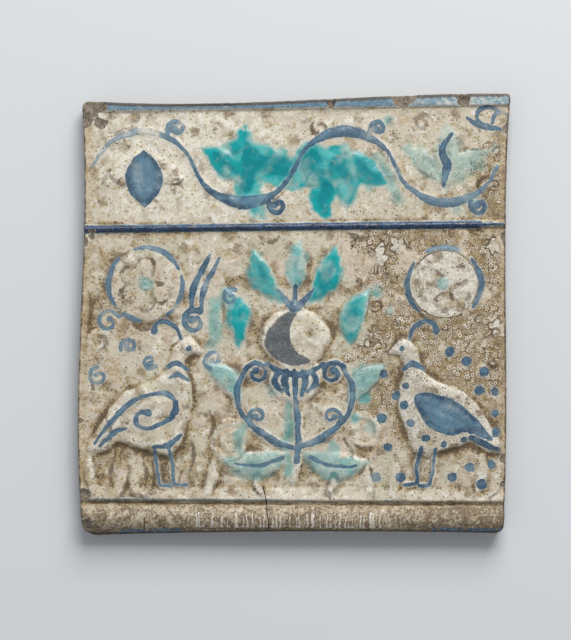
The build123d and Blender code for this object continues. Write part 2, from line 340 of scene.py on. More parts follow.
def drawFrieze():
    pitch = (plan["width"] - 2 * friezeForm["margin"]) / friezeForm["bends"]
    half, swing, level = pitch / 2, friezeForm["swing"], cordLine + friezeForm["middle"]
    radius = (half**2 + swing**2) / (2 * swing)  # of each arc of the vine
    sweep = 2 * np.degrees(np.arcsin(half / radius))
    for bend in range(friezeForm["bends"]):
        up = 1 if bend % 2 == 0 else -1
        middle = pitch * (bend + 0.5 - friezeForm["bends"] / 2)
        arc = []
        for share in np.linspace(0, 1, 9):
            angle = radians(90 + sweep / 2 - sweep * share)
            width = 1.3 + friezeForm["vineSwell"][bend] * sin(pi * share) ** 4
            py = level + up * (swing - radius) + up * radius * sin(angle)
            arc.append((middle + radius * cos(angle), py, width))
        draw("relief", [(px, py, 3.3) for px, py, _ in arc], amount=1.5)
        left = friezeForm["vinePaint"][bend]
        draw("cobalt", arc[:6], amount=left)
        draw("cobalt", arc[5:], amount=0.5 * (left + friezeForm["vinePaint"][(bend + 1) % 4]))
        spot = middle, level - up * friezeForm["offset"], 1
        for base, tip, width, bow in friezeForm["spray"]:
            base, tip, bow = (base[0], base[1] * up), (tip[0], tip[1] * up), bow * up
            pressLeaf(base, tip, width, bow, spot)
            left = friezeForm["sprayPaint"][bend]
            if left:
                draw("turquoise", leafPath(base, tip, width * 1.12, bow), True, left, False, spot)
        tendril = curlPath(middle + 27, level + up * 31, 7.5, 1.0, 200 * up, -up, 2.0, 1.1)
        draw("cobalt", tendril, amount=friezeForm["tendrilPaint"][bend])
        draw("relief", widened(tendril, 0.8), amount=0.9)
        if bend == 0:
            draw("cobalt", leafPath(*friezeForm["solidLeaf"]), True, 0.95, False, spot)
    draw("cobalt", friezeForm["lastStroke"], amount=0.9, at=spot)
    for layer, key in (("turquoise", "pools"), ("cobalt", "loops")):
        for path, left in friezeForm[key]:
            draw(layer, path, amount=left)


groundForm = {
    "scrolls": [  # x, y, radius, turns, start, way, width, height
        (-52, -104, 17, 1.5, 70, 1, 2.6, 1.1), (-50, -58, 9, 1.2, 200, -1, 2.0, 0.9),
        (56, -96, 14, 1.4, 110, -1, 2.4, 1.0), (62, -52, 8, 1.2, -20, 1, 1.9, 0.9),
        (-160, -22, 9, 1.2, 30, 1, 2.0, 0.9), (-92, -26, 8, 1.1, 150, -1, 1.9, 0.8),
        (78, 8, 8, 1.2, 60, 1, 2.0, 0.9), (160, -34, 9, 1.3, 140, -1, 2.0, 1.0),
        (-150, 150, 9, 1.1, 0, 1, 2.2, 0.7), (-64, 150, 8, 1.2, 90, -1, 2.0, 0.7),
        (104, 156, 8, 1.1, 200, 1, 2.0, 0.8), (156, 106, 8, 1.2, 40, -1, 2.0, 0.7),
        (20, 152, 9, 1.1, 270, 1, 2.1, 0.7), (-20, 90, 7, 1.1, 20, -1, 2.0, 0.7),
    ],
    "blades": [  # tall leaves behind the birds' legs: base, tip, width, bow
        ((-86, -148), (-94, -112), 10, 3), ((-76, -150), (-66, -118), 10, -3),
        ((-160, -150), (-167, -114), 9, 3), ((-146, -150), (-140, -120), 9, -2),
        ((-128, -149), (-131, -124), 8, 2), ((146, -149), (152, -112), 9, -3),
        ((158, -150), (167, -122), 9, -2), ((64, -149), (60, -122), 9, 3), ((76, -149), (82, -120), 9, -2),
        ((-26, -148), (-30, -128), 8, 2), ((26, -148), (32, -128), 8, -2),
    ],
    "reserved": [  # trefoil leaves left in the ground colour: x, y, size, turn
        (96, -42, 21, 95), (66, 44, 17, 70), (162, -12, 15, 20), (160, 58, 13, -40), (60, -20, 14, 160),
        (146, -76, 14, 250), (86, 54, 13, 130), (40, 62, 12, 10),
    ],
    "lobes": [(0, 1.0, 0.44), (48, 0.68, 0.34), (-48, 0.68, 0.34), (100, 0.46, 0.26), (-100, 0.46, 0.26)],
    "rings": [(10, 20, 250), (18, -30, 200), (26, 10, 170)],  # of ochre round the two largest scrolls
    "reeds": [  # beside the left flower, and how much cobalt is left
        ([(-84, 4, 1.2), (-83, 20, 2.4), (-75, 38, 2.0), (-69, 50, 0.9)], 0.9),
        ([(-76, 2, 1.2), (-75, 18, 2.2), (-68, 34, 1.9), (-62, 46, 0.8)], 0.8),
        (curlPath(-82, -6, 10, 1.2, 60, 1, 2.2, 1.2), 0.9),
    ],
    "faded": [  # curls at the left: x, y, radius, start, way and how much cobalt is left
        (-152, -6, 10, 30, 1, 0.5), (-135, -26, 7, 200, -1, 0.45), (-160, -50, 8, 100, 1, 0.4),
        (-118, -38, 6, 320, -1, 0.5), (-66, -36, 8, 250, -1, 0.45), (-52, 14, 7, 60, 1, 0.45),
    ],
    "dots": [  # of cobalt round the right bird: x, y and size
        (72, -48, 2.9), (70, -84, 3.2), (76, -108, 3.5), (66, -132, 3.2), (86, -132, 3.6), (128, -132, 3.4),
        (142, -124, 3.4), (152, -138, 3.6), (160, -122, 3.0), (126, -30, 3.3), (140, -38, 3.4),
        (154, -46, 3.3), (163, -62, 3.0), (150, -62, 3.4), (164, -96, 3.2), (82, -66, 2.9), (163, -80, 2.8),
    ],
    "drops": [  # of turquoise, most in the frieze: x, y, size and how much is left
        (76, 158, 3.0, 0.4), (92, 134, 4.0, 0.45), (60, 104, 3.4, 0.5), (150, 122, 3.6, 0.35),
        (162, 138, 3.0, 0.3), (146, 92, 3.2, 0.4), (132, 86, 3.0, 0.3), (-40, 150, 2.6, 0.3),
        (66, 18, 3.4, 0.6), (76, 4, 3.0, 0.5), (-66, 10, 3.4, 0.5), (-18, -62, 3.0, 0.35),
        (56, -68, 4.0, 0.8), (50, -84, 3.2, 0.7), (62, -92, 3.0, 0.5),
    ],
}


def drawGround():
    for x, y, radius, turns, start, way, width, height in groundForm["scrolls"]:
        draw("relief", curlPath(x, y, radius, turns, start, way, width, width * 0.7), amount=height)
    for blade in groundForm["blades"]:
        pressLeaf(*blade, rise=1.5, rib=0.8, depth=0.5)
    for x, y, size, turn in groundForm["reserved"]:
        for lobe, reach, wide in groundForm["lobes"]:
            angle = radians(turn + lobe)
            tip = (x + size * reach * cos(angle), y + size * reach * sin(angle))
            draw("cream", leafPath((x, y), tip, size * wide, 0), True, smooth=False)
        stalk = radians(turn + 180) + 0.3
        draw("cream", [(x, y, 0.9), (x + size * cos(stalk) * 0.6, y + size * sin(stalk) * 0.6, 0.7)])
    for radius, start, end in groundForm["rings"]:
        draw("ochreLine", ringPath(-52, -104, radius, 1.2, start, end), amount=0.8)
        draw("ochreLine", ringPath(56, -96, radius * 0.85, 1.0, start - 40, end - 60), amount=0.5)
    for path, left in groundForm["reeds"]:
        draw("cobalt", path, amount=left)
    for x, y, radius, start, way, left in groundForm["faded"]:
        draw("cobalt", curlPath(x, y, radius, 1.1, start, way, 1.5, 1.0), amount=left)
    for x, y, size in groundForm["dots"]:
        draw("cobalt", ringPath(x, y, size * 0.55, size * 0.55), amount=0.95)
    for x, y, size, left in groundForm["drops"]:
        draw("turquoise", ringPath(x, y, size * 0.5, size * 0.5), amount=left)


grime = {
    "seed": 5, "perShape": 3, "perLine": 2,
    "length": (8, 30), "width": (0.5, 1.9),  # mm, along the foot of the relief
    "left": (0.35, 1.0), "streakLeft": 0.85,
    "streaks": [  # loose streaks between the forms in the lower left and along the edges
        [(-154, -84), (-150, -96), (-153, -108)], [(-146, -112), (-150, -128), (-148, -140)],
        [(-122, -140), (-121, -128), (-124, -120)], [(-116, -118), (-114, -132), (-117, -142)],
        [(-84, -102), (-82, -116), (-86, -128)], [(-96, -138), (-92, -128)],
        [(-139, -148), (-128, -147), (-118, -149)], [(-60, -126), (-52, -129), (-44, -127)],
        [(-70, -78), (-66, -90), (-70, -100)], [(-168, 20), (-166, 4), (-169, -14)],
        [(-166, -44), (-164, -60)], [(-132, -8), (-124, -12), (-114, -9)],
        [(170, 84), (171, 104), (170, 122)], [(169, -20), (170, -44), (168, -60)],
        [(44, 66), (52, 62), (62, 64)], [(-30, 64), (-20, 60), (-12, 63)],
        [(100, -10), (110, -13), (120, -11)], [(40, -100), (46, -112), (42, -124)],
        [(146, -92), (150, -104)], [(-152, 116), (-146, 108), (-140, 112)], [(-118, 96), (-112, 92)],
        [(-96, 112), (-92, 104)],
    ],
}


def drawGrime():
    chance = np.random.default_rng(grime["seed"])
    for kind, path, _ in list(drawing["relief"]):
        count = grime["perShape"] if kind == "shape" else grime["perLine"]
        steps = np.hypot(*np.diff(path[:, :2], axis=0).T)
        for _ in range(count):
            start = int(chance.integers(0, len(path)))
            reach = int(chance.uniform(*grime["length"]) / max(steps.mean(), 0.3))
            part = np.roll(path, -start, 0)[:reach] if kind == "shape" else path[start:start + reach]
            if len(part) < 4:
                continue
            share = np.linspace(0, pi, len(part))
            half = chance.uniform(*grime["width"]) * np.sin(share) ** 0.7
            aside = 0 if kind == "shape" else (part[0, 2] + 0.3) * chance.choice((-1, 1))
            turned = np.gradient(part[:, 1]), -np.gradient(part[:, 0])
            size = np.hypot(*turned) + 1e-9
            line = np.c_[part[:, 0] + aside * turned[0] / size, part[:, 1] + aside * turned[1] / size, half]
            draw("grime", line[::2], amount=chance.uniform(*grime["left"]), smooth=False)
    for streak in grime["streaks"]:
        half = [0.5, 1.5, 0.4] if len(streak) == 3 else [0.6, 0.9]
        draw("grime", [(x, y, w) for (x, y), w in zip(streak, half)], amount=grime["streakLeft"])


sepiaCurls = [  # fine brown scrolls between the painted things: x, y, radius, turns, start and way
    (44, 58, 6.0, 1.2, 20, 1), (58, 44, 5.0, 1.0, 140, -1), (72, 62, 6.5, 1.1, 250, 1),
    (86, 30, 5.5, 1.2, 60, -1), (66, 8, 6.0, 1.1, 200, 1), (82, -8, 5.0, 1.0, 320, -1),
    (156, 60, 5.0, 1.0, 90, 1), (163, 18, 5.5, 1.2, 180, -1), (150, -4, 5.0, 1.0, 30, 1),
    (164, -14, 4.5, 1.1, 270, -1), (128, 66, 4.5, 1.0, 0, 1), (50, 26, 5.0, 1.1, 110, -1),
    (152, 92, 5.5, 1.2, 40, 1), (163, 106, 5.0, 1.0, 220, -1), (156, 120, 5.5, 1.1, 130, 1),
    (165, 134, 4.5, 1.0, 300, -1), (36, -6, 5.0, 1.0, 70, 1), (92, 52, 5.0, 1.1, 190, 1),
    (60, -22, 5.5, 1.0, 10, -1), (160, -40, 5.0, 1.1, 240, 1),
]


def drawSepia():
    for x, y, radius, turns, start, way in sepiaCurls:
        draw("sepia", curlPath(x, y, radius, turns, start, way, 0.55, 0.9))


for side in (-1, 1):
    drawBird(side)
    drawFlower(side)
drawTree()
drawFrieze()
drawGround()
drawGrime()
drawSepia()
print("drawn", {layer: len(items) for layer, items in drawing.items()})


# Distances from points to what is drawn, negative inside


def lineDistance(points, path):
    found = np.full(len(points), far)
    for (ax, ay, aw), (bx, by, bw) in zip(path[:-1], path[1:]):
        near = np.where((points[:, 0] > min(ax, bx) - far) & (points[:, 0] < max(ax, bx) + far)
                        & (points[:, 1] > min(ay, by) - far) & (points[:, 1] < max(ay, by) + far))[0]
        px, py = points[near, 0] - ax, points[near, 1] - ay
        dx, dy = bx - ax, by - ay
        share = np.clip((px * dx + py * dy) / max(dx * dx + dy * dy, 1e-9), 0, 1)
        away = np.hypot(px - share * dx, py - share * dy) - (aw + (bw - aw) * share)
        found[near] = np.minimum(found[near], away)
    return found


def shapeDistance(points, path):
    low, high = path[:, :2].min(0) - far, path[:, :2].max(0) + far
    near = np.where(((points > low) & (points < high)).all(1))[0]
    px, py = points[near, 0], points[near, 1]
    best = np.full(len(near), far)
    inside = np.zeros(len(near), bool)
    for (ax, ay, _), (bx, by, _) in zip(path, np.roll(path, -1, 0)):
        dx, dy = bx - ax, by - ay
        share = np.clip(((px - ax) * dx + (py - ay) * dy) / max(dx * dx + dy * dy, 1e-9), 0, 1)
        best = np.minimum(best, np.hypot(px - ax - share * dx, py - ay - share * dy))
        if ay != by:
            inside ^= ((ay > py) != (by > py)) & (px < dx * (py - ay) / dy + ax)
    found = np.full(len(points), far)
    found[near] = np.where(inside, -best, best)
    return found


def layerDistance(points, layer):
    # how far each point is from the nearest shape of a layer, and that shape's amount
    found = np.full(len(points), far)
    amount = np.zeros(len(points))
    for kind, path, left in drawing[layer]:
        away = lineDistance(points, path) if kind == "line" else shapeDistance(points, path)
        amount = np.where(away < found, left, amount)
        found = np.minimum(found, away)
    return found, amount


def ripple(points, size, seed, octaves=2):
    # smooth noise over the face, about -1 to 1, with bumps of this size in mm
    places = [Vector((x / size, y / size, seed)) for x, y in points]
    return np.array([noise.fractal(place, 1.0, 2.0, octaves) for place in places])


def softStep(value, start, end):
    share = np.clip((value - start) / (end - start), 0, 1)
    return share * share * (3 - 2 * share)


# The outline of the face, from the middle of one corner's rounding to the next


def cornerPoint(name):
    across = -1 if "Left" in name else 1
    up = -1 if "bottom" in name else 1
    drift = plan["drift"][name]
    return np.array([across * plan["width"] / 2 + drift[0], up * plan["height"] / 2 + drift[1]])


def outlineSide(side, startName, endName):
    start, end = cornerPoint(startName), cornerPoint(endName)
    along = end - start
    length = hypot(*along)
    outwards = np.array([along[1], -along[0]]) / length
    stops = [(0, 0), *plan["wander"][side], (1, 0)]
    curve = np.polyfit([share for share, _ in stops], [away for _, away in stops], len(stops) - 1)
    r0, r1 = plan["radius"][startName], plan["radius"][endName]
    shares = np.linspace(r0 / length, 1 - r1 / length, 240)
    middle = start + np.outer(shares, along) + np.outer(np.polyval(curve, shares), outwards)
    ahead = along / length
    firstCentre = middle[0] - outwards * r0
    lastCentre = middle[-1] - outwards * r1
    angles = np.linspace(pi / 4, pi / 2, 8)[:-1]
    first = [firstCentre + r0 * (outwards * sin(a) - ahead * cos(a)) for a in angles]
    last = [lastCentre + r1 * (outwards * sin(a) + ahead * cos(a)) for a in angles[::-1]]
    return np.vstack([first, middle, last])


def along(path, shares):
    steps = np.hypot(*np.diff(path, axis=0).T)
    distance = np.concatenate([[0], np.cumsum(steps)]) / steps.sum()
    return np.c_[np.interp(shares, distance, path[:, 0]), np.interp(shares, distance, path[:, 1])]


cells = plan["cells"]
columns = np.linspace(0, 1, cells + 1)
heights = np.linspace(bottom, top, 1200)
crowding = np.ones_like(heights)  # rows lie closer together where the section turns sharply
turns = [(top - 10, 5, 0.9), (cordLine, 5, 1.1), (grooveLine, 6, 0.9), (bottom + 4, 5, 0.5)]
for middle, spread, extra in turns:
    crowding += extra * np.exp(-((heights - middle) / spread) ** 2)
crowding = np.concatenate([[0], np.cumsum(crowding[1:])])
rows = np.interp(columns, crowding / crowding[-1], (heights - bottom) / plan["height"])

sides = [
    along(outlineSide("bottom", "bottomLeft", "bottomRight"), columns),
    along(outlineSide("right", "bottomRight", "topRight"), rows),
    along(outlineSide("top", "topRight", "topLeft"), columns),
    along(outlineSide("left", "topLeft", "bottomLeft"), 1 - rows[::-1]),
]
for k in range(4):  # neighbours share the middle of their corner
    sides[k][-1] = sides[(k + 1) % 4][0]
rim = np.vstack([side[:-1] for side in sides])  # the outline, anticlockwise from the bottom left
ahead = np.roll(rim, -1, 0) - np.roll(rim, 1, 0)
inwards = np.c_[-ahead[:, 1], ahead[:, 0]] / np.hypot(ahead[:, 0], ahead[:, 1])[:, None]
middleOfRim = (rim.min(0) + rim.max(0)) / 2
wear = 0.05 + 0.3 * np.abs(ripple(rim, 9.0, 3.1)) + 0.25 * np.abs(ripple(rim, 2.6, 8.7))  # mm off the edges
rim = rim + inwards * wear[:, None]
edge = rim + inwards * plan["arris"]


def patch(boundary, columnShares, rowShares):
    # fills four sides of equal counts with a grid of points, row by row from the bottom
    count = len(columnShares) - 1
    low = boundary[: count + 1]
    right = boundary[count: 2 * count + 1]
    high = boundary[2 * count: 3 * count + 1][::-1]
    left = np.vstack([boundary[3 * count:], boundary[:1]])[::-1]
    u, v = columnShares[None, :, None], rowShares[:, None, None]
    straight = (1 - v) * low[None] + v * high[None] + (1 - u) * left[:, None] + u * right[:, None]
    corners = (1 - u) * (1 - v) * low[0] + u * (1 - v) * low[-1] + (1 - u) * v * high[0] + u * v * high[-1]
    return straight - corners


face = patch(edge, columns, rows)


def tilted(level, tilt):
    # the height of a moulding's line at each column of the face
    return lambda x: level + tilt * x / plan["width"]


lines = {
    "band": tilted(top - section["bandDrop"], section["bandTilt"]),
    "cord": tilted(cordLine, section["cordTilt"]),
    "groove": tilted(grooveLine, section["footTilt"]),
}
lipEdge = section["grooveWidth"] / 2
rollCrest = section["rollCrest"] - section["grooveHeight"]
# whole rows follow each moulding, so that it runs clean across the tile
followed = [("band", 0, 9), ("cord", 0, 11), ("groove", lipEdge, 9), ("groove", rollCrest, 6)]
for line, offset, span in followed:
    wanted = lines[line](face[:, :, 0]) + offset
    row = int(np.argmin(np.abs((face[:, :, 1] - wanted).mean(1))))
    shift = (wanted - face[:, :, 1])[row]
    for k in range(max(1, row - span), min(cells, row + span + 1)):
        face[k, :, 1] += shift * (1 - abs(k - row) / (span + 1))

cracks = {
    "long": [
        (-26.1, -139.0), (-24.6, -146.0), (-23.4, -152.0), (-23.0, -160.0), (-21.6, -167.0),
        (-22.0, -176.5),
    ],
    "short": [(-121.8, -164.5), (-122.8, -170.0), (-122.2, -175.5)],
}
for path in cracks.values():  # columns of points are drawn on to each crack
    path = np.array(path)
    for k in range(cells + 1):
        y = face[k, cells // 2, 1]
        if path[-1, 1] < y < path[0, 1]:
            x = np.interp(-y, -path[:, 1], path[:, 0]) + 0.5 * noise.noise(Vector((y / 2.5, 4.0, 1.0)))
            face[k, int(np.argmin(np.abs(face[k, :, 0] - x))), 0] = x

points = face.reshape(-1, 2)
print("outline and rows laid out", len(points))


# Height of the face above the back


def arcThrough(t, first, second, third):
    # height at t of the circle through three points, on its upper side
    (ax, ay), (bx, by), (cx, cy) = first, second, third
    d = 2 * (ax * (by - cy) + bx * (cy - ay) + cx * (ay - by))
    x = ((ax**2 + ay**2) * (by - cy) + (bx**2 + by**2) * (cy - ay) + (cx**2 + cy**2) * (ay - by)) / d
    y = ((ax**2 + ay**2) * (cx - bx) + (bx**2 + by**2) * (ax - cx) + (cx**2 + cy**2) * (bx - ax)) / d
    return y + np.sqrt(np.maximum(hypot(ax - x, ay - y) ** 2 - (t - x) ** 2, 0))


def mouldedSection(x, y):
    level = plan["thickness"]
    height = np.full(len(x), level)
    height += section["bandRise"] * softStep(y - lines["band"](x), -section["bandSlope"], 0.3)
    radius = (section["cordWidth"] ** 2 / 4 + section["cordRise"] ** 2) / (2 * section["cordRise"])
    away = y - lines["cord"](x)
    cord = level + np.sqrt(np.maximum(radius**2 - away**2, 0)) - radius + section["cordRise"]
    height = np.where(np.abs(away) < section["cordWidth"] / 2, np.maximum(height, cord), height)
    t = y - lines["groove"](x)
    lip = level + section["lipRise"] * (1 - np.clip((t - lipEdge) / section["lipWidth"], 0, 1) ** 1.6)
    floor = level - section["grooveDepth"]
    foot = -section["grooveHeight"]
    ends = (-lipEdge, floor), (rollCrest, level + section["rollRise"]), (foot, level - section["rollFoot"])
    roll = arcThrough(np.clip(t, foot, -lipEdge), *ends)
    height = np.where(t < lipEdge + section["lipWidth"], lip, height)
    wall = floor + (level + section["lipRise"] - floor) * softStep(t, -0.5, lipEdge + 0.5)
    height = np.where(t < lipEdge + 0.5, wall, height)
    return np.where(t < -lipEdge, roll, height)


pillow = {"side": 1.6, "swell": 8.0, "carving": (-1.2, 0.7), "depth": 0.8}  # mm, but depth is a share


def pressedRelief(where, worn):
    # soft pillows, more or less worn down; where forms overlap the higher one is kept
    relief = np.zeros(len(where))
    for kind, path, lift in drawing["relief"]:
        away = lineDistance(where, path) if kind == "line" else shapeDistance(where, path)
        swell = 1 - (1 - np.clip(-away / pillow["swell"], 0, 1)) ** 2
        side = softStep(-away, -pillow["side"], pillow["side"])
        relief = np.maximum(relief, lift * side * (0.6 + 0.4 * swell))
    relief *= worn
    for kind, path, depth in drawing["carved"]:
        relief -= pillow["depth"] * depth * softStep(-lineDistance(where, path), *pillow["carving"])
    return relief


def blurred(values, reach):
    kernel = np.exp(-((np.arange(-2 * reach, 2 * reach + 1) / reach) ** 2))
    kernel /= kernel.sum()
    padded = np.pad(values, 2 * reach, mode="edge")
    padded = np.apply_along_axis(np.convolve, 0, padded, kernel, mode="valid")
    return np.apply_along_axis(np.convolve, 1, padded, kernel, mode="valid")


broad = ripple(points, 45.0, 101.0, 3)
medium = ripple(points, 17.0, 102.0, 4)
other = ripple(points, 20.0, 103.0, 4)
small = ripple(points, 7.0, 104.0, 4)
tiny = ripple(points, 3.2, 105.0, 3)

wobble = np.c_[ripple(points, 16.0, 11.0), ripple(points, 16.0, 23.0)] * 0.9
wobble += np.c_[ripple(points, 5.0, 31.0), ripple(points, 5.0, 47.0)] * 0.5
drawn = points + wobble  # nothing is drawn or pressed quite true
height = mouldedSection(points[:, 0], points[:, 1])
inFrieze = softStep(points[:, 1], cordLine, cordLine + 8)
relief = pressedRelief(drawn, (1.15 + 0.4 * other) * (1 - 0.5 * inFrieze)).reshape(cells + 1, cells + 1)
height += blurred(relief, 1).ravel()
# the band is flatter than the field, and so is the roll
ground = 1 - softStep(points[:, 1], top - 14, top - 10)
ground *= 1 - 0.6 * softStep(lines["groove"](points[:, 0]) - points[:, 1], 2, 6)
height += ground * (0.4 * broad + 0.45 * medium + 0.3 * small + 0.12 * tiny)

losses = [  # where glaze and body are lost: x, y, width and depth of each scoop
    (-167.5, 171.5, 27.0, 4.8), (-158.5, 156.0, 14.0, 3.3), (-172.5, 160.0, 20.0, 5.0),
    (-175.0, 144.0, 8.0, 2.6), (84.8, 177.5, 15.0, 4.8), (93.0, 178.5, 13.0, 3.8), (88.5, 171.5, 9.0, 3.0),
    (137.3, 174.8, 11.0, 3.4), (28.8, 171.8, 8.0, 2.9), (-62.0, 174.5, 5.0, 2.4), (-172.5, 60.0, 16.0, 3.2),
    (-165.0, 64.0, 10.0, 2.7), (172.0, 64.0, 15.0, 3.4), (171.0, -117.0, 12.0, 3.4),
    (170.5, -138.0, 9.0, 3.0), (-172.0, -146.0, 13.0, 3.4), (-170.0, -174.0, 12.0, 3.4),
    (173.0, 152.0, 12.0, 3.2), (174.0, 100.0, 9.0, 2.8), (174.0, 20.0, 10.0, 2.7),
    (-176.0, -20.0, 8.0, 2.5), (-174.5, -86.0, 9.0, 2.8),
]
chipRipple = ripple(points, 5.5, 61.0, 3)
loss = np.full(len(points), far)
for x, y, width, depth in losses:
    radius = (width**2 / 4 + depth**2) / (2 * depth)
    away = np.hypot(points[:, 0] - x, points[:, 1] - y) * (1 + 0.28 * chipRipple)
    near = away < width
    scoop = plan["thickness"] + 2 - depth + radius - np.sqrt(radius**2 - np.minimum(away, radius) ** 2)
    scoop = np.where(away < radius, scoop + 0.35 * chipRipple, 99)
    loss = np.minimum(loss, np.where(near, scoop - height, far))
    height = np.where(near & (scoop < height), scoop, height)

cut = np.full(len(points), far)
for path in cracks.values():
    cut = np.minimum(cut, lineDistance(points, np.array([(x, y, 0.0) for x, y in path])))
    crackX = np.interp(-points[:, 1], [-y for _, y in path], [x for x, _ in path])
    snapped = np.abs(points[:, 0] - crackX) < 0.7
    snapped &= (points[:, 1] < path[0][1]) & (points[:, 1] > path[-1][1])
    height -= np.where(snapped, 0.7, 0.0)

height = height.reshape(cells + 1, cells + 1)
hollow = blurred(height, 3) - height  # how far each point lies below what is round it
hollowWide = blurred(height, 9) - height
print("face moulded", round(float(height.min()), 2), round(float(height.max()), 2))


# The slab, as one closed mesh


# rings of the sides, in mm: how far inside the outline, and below the face's edge or above the back
sideRings = [
    (0.32, 0.32, None), (0.0, 1.1, None), (0.12, None, 12.0), (0.05, None, 7.0), (1.3, None, 3.4),
    (2.35, None, 0.7), (3.1, None, 0.0),
]
ringStep = 0.1  # between the rings while the slab is a flat stack, 2 wide
backSize = 1.94
backInset = 6.0  # mm


def addSlab():
    bpy.ops.object.select_all(action="DESELECT")
    bpy.ops.mesh.primitive_grid_add(x_subdivisions=cells, y_subdivisions=cells, size=2)
    slab = bpy.context.object
    slab.name = slab.data.name = "glazed_tile"
    bpy.ops.object.mode_set(mode="EDIT")
    bpy.ops.mesh.select_mode(type="EDGE")
    bpy.ops.mesh.select_all(action="DESELECT")
    bpy.ops.mesh.select_non_manifold()
    for _ in sideRings:  # the sides, ring by ring down to the back
        bpy.ops.mesh.extrude_region_move(TRANSFORM_OT_translate={"value": (0, 0, -ringStep)})
    level = -ringStep * (len(sideRings) + 1)
    bpy.ops.mesh.select_all(action="DESELECT")
    count = plan["backCells"]
    bpy.ops.mesh.primitive_grid_add(x_subdivisions=count, y_subdivisions=count, size=backSize,
                                    location=(0, 0, level))
    bpy.ops.mesh.flip_normals()
    bpy.ops.mesh.select_all(action="DESELECT")
    bpy.ops.mesh.select_non_manifold()
    bpy.ops.mesh.bridge_edge_loops()
    bpy.ops.mesh.select_all(action="SELECT")
    bpy.ops.mesh.normals_make_consistent(inside=False)
    bpy.ops.object.mode_set(mode="OBJECT")
    bpy.ops.object.shade_smooth()
    return slab


slab = addSlab()
mesh = slab.data
unit = np.zeros(len(mesh.vertices) * 3)
mesh.vertices.foreach_get("co", unit)
unit = unit.reshape(-1, 3)
level = np.round(-unit[:, 2] / ringStep).astype(int)
onBack = level == len(sideRings) + 1
column = np.round((unit[:, 0] + 1) / 2 * cells).astype(int)
row = np.round((unit[:, 1] + 1) / 2 * cells).astype(int)
rimIndex = np.select(
    [row == 0, column == cells, row == cells],
    [column, cells + row, 3 * cells - column],
    4 * cells - row,
) % (4 * cells)

place = np.zeros_like(unit)
place[:, :2] = face[np.clip(row, 0, cells), np.clip(column, 0, cells)]
place[:, 2] = height[np.clip(row, 0, cells), np.clip(column, 0, cells)]
edgeHeight = place[:, 2].copy()
for k, (inset, drop, fixed) in enumerate(sideRings, start=1):
    ring = level == k
    index = rimIndex[ring]
    place[ring, :2] = rim[index] + inwards[index] * inset
    place[ring, 2] = edgeHeight[ring] - drop if fixed is None else fixed
    if fixed and fixed > 1:  # the bare sides are rough
        rough = ripple(rim[index], 6.0, 71.0 + k)
        place[ring, :2] += inwards[index] * (0.18 * np.abs(rough))[:, None]
        place[ring, 2] += 0.35 * rough
backCells = plan["backCells"]
backRim = (rim + inwards * backInset)[:: cells // backCells]
backShares = np.linspace(0, 1, backCells + 1)
backGrid = patch(backRim, backShares, np.interp(backShares, columns, rows))
backIndex = np.round((unit[onBack, :2] / (backSize / 2) + 1) / 2 * backCells).astype(int)
under = backGrid[backIndex[:, 1], backIndex[:, 0]]
place[onBack, :2] = under
place[onBack, 2] = 0.45 * np.abs(ripple(under, 40.0, 81.0)) * softStep(170 - np.abs(under).max(1), 0, 12)
place[:, :2] -= middleOfRim
place /= 1000
low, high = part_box("tile")
place = np.clip(place, np.array(low), np.array(high))
mesh.vertices.foreach_set("co", place.ravel())
mesh.update()
triangles = sum(len(polygon.vertices) - 2 for polygon in mesh.polygons)
print("slab built", len(mesh.vertices), "points", triangles, "triangles")


# What the glaze needs to know at each point


def storeMark(name, onFace, onBackValue=0.0):
    values = np.full(len(unit), onBackValue)
    grid = np.asarray(onFace).reshape(cells + 1, cells + 1)
    values[~onBack] = grid[row[~onBack], column[~onBack]]
    mesh.attributes.new(name, "FLOAT", "POINT").data.foreach_set("value", values)


x, y = points[:, 0], points[:, 1]
foot = y - lines["groove"](x)
onRoll = softStep(-foot, 0, 4)
brownness = 0.42
for amount, *fades in (  # how much browner each place is, and the fades in mm that bound it
    (0.25, (-x, 110, 172)), (0.25, (-y, 30, 140), (-x, -60, 60)), (0.25, (x, 30, 100)),
    (0.35, (abs(y - 12), 40, 0), (-x, 60, 120)), (-0.25, (-y, 60, 100), (-abs(x), -70, -45)),
):
    brownness = brownness + amount * np.prod([softStep(*fade) for fade in fades], 0)
brownness -= inFrieze * (0.3 + 0.15 * softStep(-x, 0, 60)) * softStep(abs(x), 168, 130)
clean = inFrieze * softStep(-x, 0, 60)  # the left half of the frieze
wide = hollowWide.ravel()

# what is drawn
away, left = {}, {}
for layer in ("cobalt", "turquoise", "cream", "grime", "wash", "sepia", "ochreLine"):
    away[layer], left[layer] = layerDistance(drawn, layer)
left["cobalt"] *= 0.35 + 0.65 * softStep(other + 0.5 * small, -0.75, 0.1)
for layer in ("cobalt", "grime", "wash", "sepia", "ochreLine"):
    storeMark(layer, away[layer], far)
storeMark("cobaltLeft", left["cobalt"])
storeMark("cobaltThin", softStep(left["cobalt"], 0.05, 0.45))
storeMark("turquoise", away["turquoise"] + 1.6 * small, far)
storeMark("turquoiseLeft", left["turquoise"] * (0.6 + 0.4 * softStep(medium, -0.6, 0.1)))
storeMark("grimeLeft", left["grime"] * softStep(small, -0.9, 0.0))
storeMark("loss", loss, far)
storeMark("cut", cut, far)

